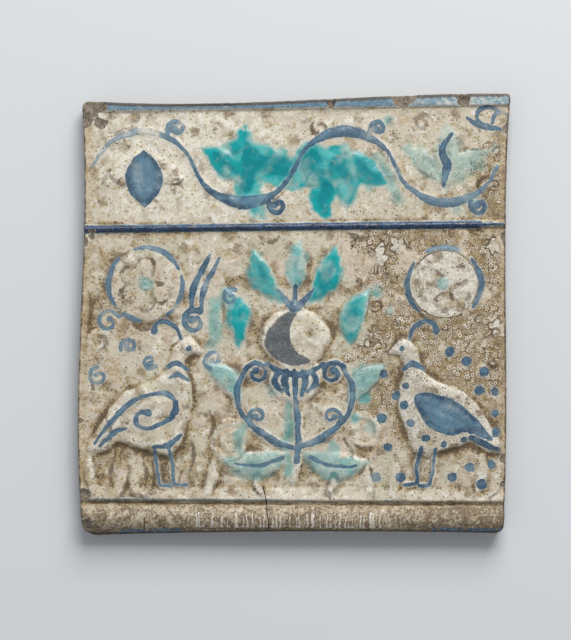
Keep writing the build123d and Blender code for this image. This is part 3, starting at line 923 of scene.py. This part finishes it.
# the band, the cord and the foot
waver = 0.25 * ripple(points, 12.0, 91.0) + 0.12 * small
storeMark("band", y - lines["band"](x) + waver, -far)
storeMark("bandPale", softStep(x, 70, 150))
storeMark("cord", abs(y - lines["cord"](x) + waver) + 2 * softStep(x + 4 * small, 148, 158), far)
storeMark("foot", foot + waver, far)
blueLeft = softStep(medium + 0.9 - 0.004 * (x + 175), 0, 0.5)  # less of it to the right
storeMark("grooveBlue", softStep(abs(foot - 1.6), 1.6, 0.6) * blueLeft)
storeMark("palisade", onRoll * softStep(x, -96, -80) * softStep(-x, -98, -66) * softStep(small, -0.9, -0.2))
# painted shade with dirt: the roll is painted darker towards its foot, as shade falls on a roll lit from
# above, and browner in patches and towards the right
rollDirtAndShade = 0.95 + 0.15 * softStep(-foot, 4, 17) + 0.2 * softStep(-foot, 20, 23) + 0.2 * softStep(x, 60, 150)
storeMark("rollDirtAndShade", onRoll * (rollDirtAndShade + 0.3 * medium + 0.25 * small))

# the edges: left, right, bottom and top
across, up = face[:, :, 0], face[:, :, 1]
inside = across - across[:, :1], across[:, -1:] - across, up - up[:1], up[-1:] - up
inside = [part.ravel() for part in inside]
fromFoot = softStep(-inside[2], -3.4, -2.4) * softStep(small, -0.7, 0.0)
storeMark("footBlue", fromFoot * np.maximum(softStep(abs(x + 119), 30, 24), softStep(x, 107, 116)))
storeMark("rim", np.min([part + more for part, more in zip(inside, (1.1, 0.9, 0.8, -0.3))], 0) + 0.5 * tiny)
storeMark("margin", np.min([part + more for part, more in zip(inside, (0, 1, 9, 9))], 0) + 4 * small)

# patches of the ground, stains and dirt
storeMark("tone", broad + 0.4 * medium)
storeMark("pink", ripple(points, 30.0, 111.0, 3) + 0.3 * small)
storeMark("pale", ripple(points, 9.0, 112.0, 4) - 0.5 * wide - 0.7 * (brownness - 0.45) + 0.3 * clean)
stain = 0.75 * ripple(points, 12.0, 113.0, 4) + 0.4 * tiny
storeMark("stain", stain + 0.9 * (brownness - 0.4) + 0.25 * wide)
nearLine = np.minimum.reduce([abs(y - lines["band"](x)), abs(y - lines["cord"](x)), abs(foot - 1) + 1.5])
hollows = (1.5 * hollow.ravel() + 0.4 * wide) * (1 - 0.85 * softStep(nearLine, 5, 3))
soil = hollows + 0.75 * other + 0.35 * small
soil += 0.7 * (brownness - 0.6) - 0.25 * inFrieze * softStep(-x, 20, 70)
storeMark("soil", soil)
storeMark("gritty", softStep(soil + 0.3 * tiny, 0.05, 0.6))
yellowed = softStep(-x, 120, 170) + softStep(-y, 90, 150) * softStep(-x, -40, 40)
storeMark("ochre", ripple(points, 14.0, 114.0, 3) + 0.25 * small + 0.35 * yellowed)
storeMark("smudged", softStep(0.3 + 0.8 * other + 0.3 * small, 0.0, 0.5) * (1 - onRoll))
storeMark("pitted", softStep(ripple(points, 11.0, 117.0, 4) + 0.5 * (brownness - 0.5), 0.05, 0.3))
storeMark("weathered", 1 - 0.55 * clean)
specks = ripple(points, 24.0, 115.0, 3) + 0.35 * inFrieze - 0.2 * softStep(x, 0, 90)
storeMark("specks", softStep(specks, -0.05, 0.35))

# the lustre, and what was left bare in it
lustre = softStep(x, 22, 66) * softStep(foot, 40, 82) * (1 - inFrieze) * (1 - softStep(x, 168, 178))
lustre = np.maximum(lustre, 0.85 * softStep(x + 6 * small, 138, 158) * inFrieze * softStep(-y, -152, -130))
blotches = softStep(lustre + 1.1 * ripple(points, 26.0, 116.0, 4) + 0.3 * small, 0.45, 0.9)
lustre = blotches * softStep(lustre, 0, 0.3)
storeMark("lustre", lustre * (0.75 + 0.5 * softStep(other, -0.4, 0.4)))
storeMark("reserved", away["cream"], far)
storeMark("reservedHere", softStep(lustre, 0.15, 0.5))
dotted = softStep(x, 30, 80) * softStep(-y, 20, 40) * softStep(other, -0.5, 0.3)
storeMark("speckled", softStep(-away["cream"], 0.5, 2.5) * dotted)

depth = (edgeHeight - place[:, 2] * 1000) * ~onBack + 20.0 * onBack  # below the arris, in mm
depth[level == 0] = 0
mesh.attributes.new("depth", "FLOAT", "POINT").data.foreach_set("value", depth)
print("marks stored")


unwrap = {  # shares of the square
    "gap": 0.005, "face": 0.785, "beside": 0.018, "back": 0.19, "strip": 0.042, "pitch": 0.049,
}


def unwrapSlab():
    # the face takes most of the square, the sides lie in four strips above it and the back beside it
    layer = mesh.uv_layers.new(name="OFBake")
    loopVertex = np.zeros(len(mesh.loops), int)
    mesh.loops.foreach_get("vertex_index", loopVertex)
    sizes = np.zeros(len(mesh.polygons), int)
    mesh.polygons.foreach_get("loop_total", sizes)
    owner = np.repeat(np.arange(len(sizes)), sizes)
    corner = unit[loopVertex]
    centre = np.array([np.bincount(owner, corner[:, k]) / sizes for k in range(3)]).T[owner]
    flat, start = (corner[:, :2] + 1) / 2, unwrap["beside"] + unwrap["face"]
    uv = unwrap["gap"] + unwrap["face"] * flat
    behind = centre[:, 2] < -ringStep * len(sideRings) - 0.01
    uv[behind, 0] = start + unwrap["back"] * flat[behind, 0]
    onSide = (centre[:, 2] < -0.01) & ~behind
    for strip, (axis, sign) in enumerate([(1, -1), (0, 1), (1, 1), (0, -1)]):
        chosen = onSide & (centre[:, axis] * sign > 0.9999)
        down = -corner[chosen, 2] / (ringStep * len(sideRings))
        uv[chosen, 0] = unwrap["gap"] + (1 - 2 * unwrap["gap"]) * flat[chosen, 1 - axis]
        uv[chosen, 1] = start + unwrap["pitch"] * strip + unwrap["strip"] * down
    layer.data.foreach_set("uv", uv.ravel())


unwrapSlab()
print("unwrapped")


# The glaze


def linearColour(code):
    channels = [int(code[k:k + 2], 16) / 255 for k in (0, 2, 4)]
    return (*[c / 12.92 if c < 0.04045 else ((c + 0.055) / 1.055) ** 2.4 for c in channels], 1.0)


def addNode(tree, kind, inputs, output=0, **settings):
    node = tree.nodes.new(kind)
    for name, value in settings.items():
        setattr(node, name, value)
    for key, value in inputs.items():
        if isinstance(value, bpy.types.NodeSocket):
            tree.links.new(value, node.inputs[key])
        else:
            node.inputs[key].default_value = value
    return node.outputs[output]


# Alkali-glazed fritware: a sandy white body pressed in a mould, painted in cobalt and turquoise that bled
# in the glaze, and in brown lustre over it. The glaze is thin and worn, so it is cream and faintly glossy
# where clean, grainy brown with dirt in its hollows, and matt grey-brown where the body is bare.
glaze = {
    "colours": {
        "cream": "C3BBA8", "creamDull": "AEA48F", "creamGreen": "B4B499", "creamPink": "C2AD9B",
        "creamPale": "DEDACF", "dirt": "8A7453", "dirtDark": "4A3A26", "ochre": "A48F5E",
        "lustre": "856A42", "lustreDark": "523B20", "turquoise": "0A9496", "turquoiseDeep": "00767F",
        "turquoisePale": "5FB3AE", "turquoiseGrey": "8FB3A8", "cobalt": "254F6C", "cobaltDeep": "0F2E46",
        "cobaltPale": "4F7D94", "cobaltGrey": "8FA5AB", "cobaltThin": "7396A8", "band": "5F8094",
        "cord": "0B3C66", "cordDeep": "08203C", "lipBlue": "6A7F8A", "wash": "3E4348", "washBlue": "44525F",
        "body": "857A6B", "bodyDark": "5C5246", "rim": "3B3026", "speckGreen": "8F8A38",
        "speckOrange": "9A6438", "pit": "2A2018",
    },
    # noise: grain size in mm, detail, roughness and distortion
    "clouds": {
        "drift": (17.0, 1.0, 0.5, 0.3), "cloud": (8.0, 5.0, 0.62, 0.6), "mottle": (4.2, 4.0, 0.6, 1.4),
        "grain": (2.0, 4.0, 0.68, 0.3), "grit": (0.85, 2.0, 0.5, 0.0),
    },
    # scattered marks: spacing in mm, how irregular, and the radius of a ring, or 0 for a dot
    "scatters": {
        "ringlet": (3.8, 0.6, 1.2), "smudge": (21.0, 1.0, 0.0), "speck": (7.0, 1.0, 0.0),
        "rust": (23.0, 1.0, 0.0), "pit": (4.4, 1.0, 0.0),
    },
    "patches": (0.44, 0.6),  # levels of the mottle between which a coat passes from one colour to the other
    "roughness": (0.3, 0.5),  # where the mottle is low and where it is high
    "bumps": {"cloud": 0.45, "grain": 0.35, "sand": 0.7},  # mm
    "underTurquoise": 0.25,  # share of the bumps that shows there
    "ior": 1.5,
    "specular": 0.45,
}


def newCoat(mark, edge, strength, colours, **more):
    return {"mark": mark, "edge": edge, "strength": strength, "colours": colours.split(), **more}


# The coats, from the clean glaze up. A coat lies where its mark, made ragged by drift, cloud and grain, is
# past the edge. The mark named by where holds it in, and the one named by unless keeps it off. Its two
# colours are mixed in patches. Marks are in mm, or run from about -1 to 1, and raised is in mm too.
coats = [
    # the clean glaze: greener, pinker, yellower and paler in places
    newCoat("tone", (-0.1, 0.4), 0.6, "creamGreen creamDull", cloud=1.5),
    newCoat("pink", (0.0, 0.5), 0.7, "creamPink cream", cloud=1.5),
    newCoat("cloud", (0.5, 0.6), 0.45, "creamDull creamPink", grain=0.2),
    newCoat("ochre", (0.3, 0.65), 0.6, "ochre creamPink", cloud=2.0, grain=0.8),
    newCoat("ochreLine", (1.0, -0.8), 0.6, "ochre creamPink", cloud=4.0, grain=2.0),
    newCoat("pale", (0.2, 0.4), 0.8, "creamPale cream", cloud=1.6, grain=0.8),
    newCoat("mottle", (0.575, 0.61), 0.45, "creamPale creamPink", where="weathered"),
    newCoat("mottle", (0.405, 0.36), 0.45, "dirt creamDull", where="weathered"),
    # brown lustre, with ringlets, leaves and dots left in it
    newCoat("ringlet", (0.42, 0.16), 0.7, "lustre ochre", cloud=2.0, grain=0.3, where="reservedHere"),
    newCoat("lustre", (0.45, 0.75), 0.95, "lustre lustreDark", cloud=3.2, grain=0.6, name="lustreCoat",
            rough=0.5),
    newCoat("cloud", (0.53, 0.6), 0.4, "creamDull ochre", where="lustreCoat"),
    newCoat("ringlet", (0.42, 0.16), 1.0, "creamPale cream", cloud=2.0, grain=0.3, where="lustreCoat"),
    newCoat("reserved", (1.3, 0.4), 1.0, "dirtDark lustreDark", grain=1.2, where="reservedHere"),
    newCoat("reserved", (0.1, -0.5), 0.85, "creamPale cream", grain=1.2, where="reservedHere"),
    newCoat("sepia", (0.45, 0.0), 0.85, "lustreDark dirtDark", cloud=1.5, grain=1.5, where="reservedHere"),
    newCoat("grit", (0.53, 0.6), 0.85, "lustreDark lustre", where="speckled"),
    # smudges, stains, dirt in the hollows, specks and pits
    newCoat("smudge", (5.2, 2.4), 0.75, "dirt dirtDark", cloud=16.0, grain=5.0, where="smudged",
            raised=-0.15),
    newCoat("stain", (0.25, 0.75), 0.5, "dirt creamDull", cloud=1.8, grain=0.5, rough=0.5),
    newCoat("stain", (0.95, 1.15), 0.8, "dirtDark lustreDark", cloud=1.6, grain=3.0, rough=0.7),
    newCoat("soil", (0.15, 0.6), 0.7, "dirt ochre", cloud=1.6, grain=0.7, rough=0.75, raised=-0.05),
    newCoat("soil", (0.7, 0.95), 0.85, "dirtDark lustreDark", cloud=1.4, grain=2.6, rough=0.85),
    newCoat("grit", (0.56, 0.62), 0.6, "dirtDark lustreDark", where="gritty"),
    newCoat("speck", (1.1, 0.6), 0.85, "speckGreen ochre", grain=2.5, where="specks"),
    newCoat("rust", (0.75, 0.3), 0.6, "speckOrange lustreDark", grain=1.0),
    newCoat("pit", (0.72, 0.36), 0.85, "pit dirtDark", grain=2.0, where="pitted", rough=0.9, raised=-0.25),
    newCoat("grime", (1.0, -0.3), 0.95, "dirtDark lustreDark", cloud=3.0, grain=5.0, where="grimeLeft",
            rough=0.85, raised=-0.06),
    # turquoise, pale round it and deep where it pooled
    newCoat("turquoise", (6.0, 0.0), 0.4, "creamPale turquoiseGrey", drift=12.0, cloud=3.0,
            where="turquoiseLeft"),
    newCoat("turquoise", (3.2, -1.6), 1.0, "turquoise", drift=9.0, cloud=2.5, where="turquoiseLeft",
            name="turquoiseCoat", rough=0.25),
    newCoat("turquoise", (-4.0, -9.0), 0.75, "turquoiseDeep", drift=26.0, cloud=3.0, where="turquoiseCoat"),
    newCoat("drift", (0.56, 0.7), 0.7, "turquoisePale", cloud=0.3, where="turquoiseCoat"),
    # the dark wash on the fruit
    newCoat("wash", (0.7, -0.7), 0.95, "wash washBlue", cloud=2.5, grain=0.8, name="washCoat"),
    newCoat("grit", (0.55, 0.66), 0.5, "cobaltGrey creamDull", where="washCoat"),
    # cobalt: a pale halo, a thin wash, the full coat and its darker edges
    newCoat("cobalt", (3.0, 0.4), 0.25, "cobaltGrey creamPale", cloud=6.0, where="cobaltLeft"),
    newCoat("cobalt", (0.65, -0.15), 0.85, "cobaltThin", cloud=2.4, grain=1.4, where="cobaltThin"),
    newCoat("cobalt", (0.55, -0.25), 1.0, "cobalt cobaltDeep", cloud=2.4, grain=1.2, where="cobaltLeft",
            name="cobaltCoat", rough=0.3),
    newCoat("drift", (0.5, 0.6), 0.6, "cobaltPale band", cloud=0.5, where="cobaltCoat"),
    newCoat("mottle", (0.54, 0.64), 0.4, "cobaltPale band", where="cobaltCoat"),
    newCoat("cobalt", (-2.2, -6.0), 0.65, "band cobaltPale", cloud=8.0, where="cobaltCoat"),
    newCoat("cobalt", (-1.1, -0.1), 0.75, "cobaltDeep cobalt", grain=1.2, where="cobaltCoat"),
    newCoat("grit", (0.57, 0.66), 0.4, "cobaltGrey creamDull", where="cobaltCoat"),
    # the margin, the band, the cord and the foot
    newCoat("margin", (8.0, 1.0), 0.5, "ochre creamPink", cloud=9.0, grain=4.0, rough=0.7),
    newCoat("band", (-0.2, 0.6), 0.95, "band cobaltPale", grain=0.7, name="bandCoat", rough=0.35),
    newCoat("grain", (0.5, 0.6), 0.6, "cobalt cobaltDeep", where="bandCoat"),
    newCoat("cloud", (0.56, 0.62), 0.55, "cobaltGrey dirt", where="bandCoat"),
    newCoat("bandPale", (0.2, 0.9), 0.7, "cobaltGrey creamPale", cloud=2.0, grain=2.0, where="bandCoat"),
    newCoat("cord", (3.7, 3.0), 0.95, "cobalt cobaltPale", grain=1.4, rough=0.25),
    newCoat("cord", (2.9, 2.0), 1.0, "cordDeep cord", cloud=1.2, rough=0.22),
    # the roll darkened towards its foot: painted shade, with dirt in patches
    newCoat("rollDirtAndShade", (0.2, 0.85), 0.85, "dirt creamDull", cloud=2.6, grain=0.8, rough=0.6),
    newCoat("rollDirtAndShade", (1.02, 1.25), 0.75, "lustreDark dirtDark", cloud=2.0, grain=3.4, rough=0.7),
    newCoat("strokes", (1.6, 0.4), 0.7, "lustreDark dirt", cloud=2.0, grain=1.0, where="palisade"),
    newCoat("strokes", (0.42, 0.0), 0.8, "creamPale cream", cloud=1.0, grain=1.6, where="palisade"),
    # painted shade: a thin darker line along the floor of the groove, in dirt colours
    newCoat("grooveLine", (1.3, 0.3), 0.3, "dirtDark dirt", cloud=1.4, grain=1.8, rough=0.7),
    newCoat("grooveBlue", (0.4, 0.9), 0.75, "lipBlue cobaltGrey", cloud=1.6, grain=1.6),
    newCoat("footBlue", (0.35, 0.7), 0.8, "cobalt cobaltPale", cloud=1.6, grain=1.6),
    # chips, the dark rim, the bare body and the cracks
    newCoat("loss", (0.8, 0.35), 0.55, "creamPale cream", grain=0.5),
    newCoat("rim", (1.7, 0.7), 0.9, "rim dirtDark", cloud=1.5, grain=1.0, rough=0.6),
    newCoat("loss", (0.22, 0.0), 1.0, "body bodyDark", grain=0.4, name="bare", rough=0.95),
    newCoat("depth", (4.5, 5.5), 1.0, "body bodyDark", cloud=-9.0, grain=-1.0, name="under", rough=0.95),
    newCoat("cut", (0.75, 0.3), 0.9, "pit dirtDark", grain=0.5, rough=0.9, raised=-0.4),
    # fine grit over all but the turquoise
    newCoat("grit", (0.56, 0.66), 0.38, "dirtDark dirt", unless="turquoiseCoat"),
    newCoat("grit", (0.44, 0.33), 0.16, "creamPale", unless="turquoiseCoat"),
]


def glazedFritware():
    material = bpy.data.materials.new("glazedFritware")
    material.use_nodes = True
    tree = material.node_tree
    tree.nodes.clear()

    place = addNode(tree, "ShaderNodeTexCoord", {}, "Object")
    # everything below is in mm
    place = addNode(tree, "ShaderNodeVectorMath", {0: place, "Scale": 1000.0}, operation="SCALE")
    marks = {}
    for name, (size, detail, rough, distortion) in glaze["clouds"].items():
        marks[name] = addNode(tree, "ShaderNodeTexNoise", {
            "Vector": place, "Scale": 1 / size, "Detail": detail, "Roughness": rough,
            "Distortion": distortion,
        })
    for name, (spacing, randomness, ring) in glaze["scatters"].items():
        values = {"Vector": place, "Scale": 1 / spacing, "Randomness": randomness}
        away = addNode(tree, "ShaderNodeTexVoronoi", values, "Distance", voronoi_dimensions="2D")
        away = addNode(tree, "ShaderNodeMath", {0: away, 1: spacing, 2: -ring}, operation="MULTIPLY_ADD")
        marks[name] = addNode(tree, "ShaderNodeMath", {0: away}, operation="ABSOLUTE") if ring else away
    for attribute in mesh.attributes:
        if attribute.data_type == "FLOAT" and attribute.domain == "POINT":
            name = attribute.name
            marks[name] = addNode(tree, "ShaderNodeAttribute", {}, "Fac", attribute_name=name)
    marks["grooveLine"] = addNode(tree, "ShaderNodeMath", {0: marks["foot"]}, operation="ABSOLUTE")
    soften = {}  # about zero, to make an edge ragged
    for name in ("drift", "cloud", "grain"):
        soften[name] = addNode(tree, "ShaderNodeMath", {0: marks[name], 1: 0.5}, operation="SUBTRACT")
    marks["strokes"] = addPalisade(tree, place, marks["foot"], soften["cloud"])
    values = {0: marks["mottle"], 1: glaze["patches"][0], 2: glaze["patches"][1]}
    halfway = addNode(tree, "ShaderNodeMapRange", values, interpolation_type="SMOOTHSTEP")

    colours = {name: linearColour(code) for name, code in glaze["colours"].items()}
    surface = colours["cream"]
    values = {0: marks["mottle"], 1: 0.3, 2: 0.7, 3: glaze["roughness"][0], 4: glaze["roughness"][1]}
    roughness = addNode(tree, "ShaderNodeMapRange", values)
    relief = 0.0
    for name in ("cloud", "grain"):
        values = {0: soften[name], 1: glaze["bumps"][name], 2: relief}
        relief = addNode(tree, "ShaderNodeMath", values, operation="MULTIPLY_ADD")
    for coat in coats:
        value = marks[coat["mark"]]
        for name in soften:
            if name in coat:
                values = {0: soften[name], 1: coat[name], 2: value}
                value = addNode(tree, "ShaderNodeMath", values, operation="MULTIPLY_ADD")
        values = {0: value, 1: coat["edge"][0], 2: coat["edge"][1], 3: 0.0, 4: coat["strength"]}
        mask = addNode(tree, "ShaderNodeMapRange", values, interpolation_type="SMOOTHSTEP")
        if "where" in coat:
            mask = addNode(tree, "ShaderNodeMath", {0: mask, 1: marks[coat["where"]]}, operation="MULTIPLY")
        if "unless" in coat:
            free = addNode(tree, "ShaderNodeMath", {0: 1.0, 1: marks[coat["unless"]]}, operation="SUBTRACT")
            mask = addNode(tree, "ShaderNodeMath", {0: mask, 1: free}, operation="MULTIPLY")
        if "name" in coat:
            marks[coat["name"]] = mask
        first, second = colours[coat["colours"][0]], colours[coat["colours"][-1]]
        paint = addNode(tree, "ShaderNodeMix", {0: halfway, 6: first, 7: second}, 2, data_type="RGBA")
        surface = addNode(tree, "ShaderNodeMix", {0: mask, 6: surface, 7: paint}, 2, data_type="RGBA")
        if "rough" in coat:
            roughness = addNode(tree, "ShaderNodeMix", {0: mask, 2: roughness, 3: coat["rough"]})
        if "raised" in coat:
            values = {0: mask, 1: coat["raised"], 2: relief}
            relief = addNode(tree, "ShaderNodeMath", values, operation="MULTIPLY_ADD")
    # the glaze is smoother over turquoise and where it is clean, and the bare body is sandy
    values = {0: marks["turquoiseCoat"], 1: 0.0, 2: 1.0, 3: 1.0, 4: glaze["underTurquoise"]}
    smoothed = addNode(tree, "ShaderNodeMapRange", values)
    smoothed = addNode(tree, "ShaderNodeMath", {0: smoothed, 1: marks["weathered"]}, operation="MULTIPLY")
    relief = addNode(tree, "ShaderNodeMath", {0: relief, 1: smoothed}, operation="MULTIPLY")
    sand = addNode(tree, "ShaderNodeMath", {0: marks["bare"], 1: marks["under"]}, operation="MAXIMUM")
    sand = addNode(tree, "ShaderNodeMath", {0: sand, 1: marks["grain"]}, operation="MULTIPLY")
    values = {0: sand, 1: glaze["bumps"]["sand"], 2: relief}
    relief = addNode(tree, "ShaderNodeMath", values, operation="MULTIPLY_ADD")
    normal = addNode(tree, "ShaderNodeBump", {"Strength": 1.0, "Distance": 0.001, "Height": relief})
    finish = addNode(tree, "ShaderNodeBsdfPrincipled", {
        "Base Color": surface, "Roughness": roughness, "Normal": normal,
        "IOR": glaze["ior"], "Specular IOR Level": glaze["specular"],
    })
    tree.links.new(finish, tree.nodes.new("ShaderNodeOutputMaterial").inputs["Surface"])
    return material


palisade = {  # mm, with the heights measured from the groove
    "spacing": 3.9, "randomness": 1.0, "halfWidth": 0.33, "swell": 0.7, "sway": 6.5,
    "foot": -19.6, "top": -10.5, "spread": 8.0, "ball": 0.95,
}


def addPalisade(tree, place, foot, sway):
    # an ornament of upright brush strokes with round feet along the roll, as distance in mm from its lines
    across = addNode(tree, "ShaderNodeSeparateXYZ", {0: place})
    across = {0: sway, 1: palisade["sway"], 2: across}
    across = addNode(tree, "ShaderNodeMath", across, operation="MULTIPLY_ADD")
    values = {"W": across, "Scale": 1 / palisade["spacing"], "Randomness": palisade["randomness"]}
    away = addNode(tree, "ShaderNodeTexVoronoi", values, "Distance", voronoi_dimensions="1D")
    chance = away.node.outputs["Color"]  # of each stroke, for its height and width
    away = addNode(tree, "ShaderNodeMath", {0: away, 1: palisade["spacing"]}, operation="MULTIPLY")
    limit = {0: chance, 1: palisade["spread"], 2: palisade["top"] - palisade["spread"] / 2}
    limit = addNode(tree, "ShaderNodeMath", limit, operation="MULTIPLY_ADD")
    above = addNode(tree, "ShaderNodeMath", {0: foot, 1: limit}, operation="SUBTRACT")
    below = addNode(tree, "ShaderNodeMath", {0: palisade["foot"], 1: foot}, operation="SUBTRACT")
    half = {0: chance, 1: palisade["swell"], 2: palisade["halfWidth"] - palisade["swell"] / 2}
    half = addNode(tree, "ShaderNodeMath", half, operation="MULTIPLY_ADD")
    stroke = addNode(tree, "ShaderNodeMath", {0: away, 1: half}, operation="SUBTRACT")
    for bound in (above, below):
        stroke = addNode(tree, "ShaderNodeMath", {0: stroke, 1: bound}, operation="MAXIMUM")
    square = addNode(tree, "ShaderNodeMath", {0: away, 1: away}, operation="MULTIPLY")
    square = addNode(tree, "ShaderNodeMath", {0: below, 1: below, 2: square}, operation="MULTIPLY_ADD")
    ball = addNode(tree, "ShaderNodeMath", {0: square, 1: 0.5}, operation="POWER")
    ball = addNode(tree, "ShaderNodeMath", {0: ball, 1: palisade["ball"]}, operation="SUBTRACT")
    return addNode(tree, "ShaderNodeMath", {0: stroke, 1: ball}, operation="MINIMUM")


mesh.materials.append(glazedFritware())
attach(slab, "root")
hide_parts("tile")
print("glazed")


# Floor, lights and camera

stage = {  # metres and watts
    "floorColour": "CACDD0", "floorSize": 6.0, "floorRough": 0.9,
    "camera": (-0.0069, -0.0044, 2.2), "clipEnd": 50,
    "sensor": 36.0, "frameWidth": 0.4648,  # mm of the sensor, and the frame's width at the tile's face
    "lights": {  # place, size, power and colour
        "keyLight": ((0.62, 2.4, 2.0), 2.0, 134.0, "FFFEFC"),
        "fillLight": ((-1.6, -1.4, 2.4), 2.4, 9.0, "F2F6FF"),
    },
    "skyColour": "EEF1F5", "sky": 0.37,
}


def addFloor():
    bpy.ops.object.select_all(action="DESELECT")
    bpy.ops.mesh.primitive_plane_add(size=stage["floorSize"])
    floor = bpy.context.object
    floor.name = "floor"
    material = bpy.data.materials.new("paintedPlaster")
    material.use_nodes = True
    shader = material.node_tree.nodes["Principled BSDF"]
    shader.inputs["Base Color"].default_value = linearColour(stage["floorColour"])
    shader.inputs["Roughness"].default_value = stage["floorRough"]
    floor.data.materials.append(material)


def addLight(name, location, size, power, colour):
    bpy.ops.object.light_add(type="AREA", location=location)
    light = bpy.context.object
    light.name = name
    light.data.size = size
    light.data.energy = power
    light.data.color = linearColour(colour)[:3]
    light.rotation_euler = (-Vector(location)).to_track_quat("-Z", "Y").to_euler()  # it faces the tile


def addCamera():
    bpy.ops.object.camera_add(location=stage["camera"])
    camera = bpy.context.object
    camera.name = "camera"
    camera.data.sensor_fit = "HORIZONTAL"
    camera.data.sensor_width = stage["sensor"]
    away = stage["camera"][2] - plan["thickness"] / 1000
    camera.data.lens = stage["sensor"] * away / stage["frameWidth"]
    camera.data.clip_end = stage["clipEnd"]
    bpy.context.scene.camera = camera


addFloor()
for name, light in stage["lights"].items():
    addLight(name, *light)
addCamera()
world = bpy.data.worlds.new("studio")
bpy.context.scene.world = world
world.use_nodes = True
world.node_tree.nodes["Background"].inputs["Color"].default_value = linearColour(stage["skyColour"])
world.node_tree.nodes["Background"].inputs["Strength"].default_value = stage["sky"]
bpy.context.scene.view_settings.view_transform = "Standard"
print("lit")
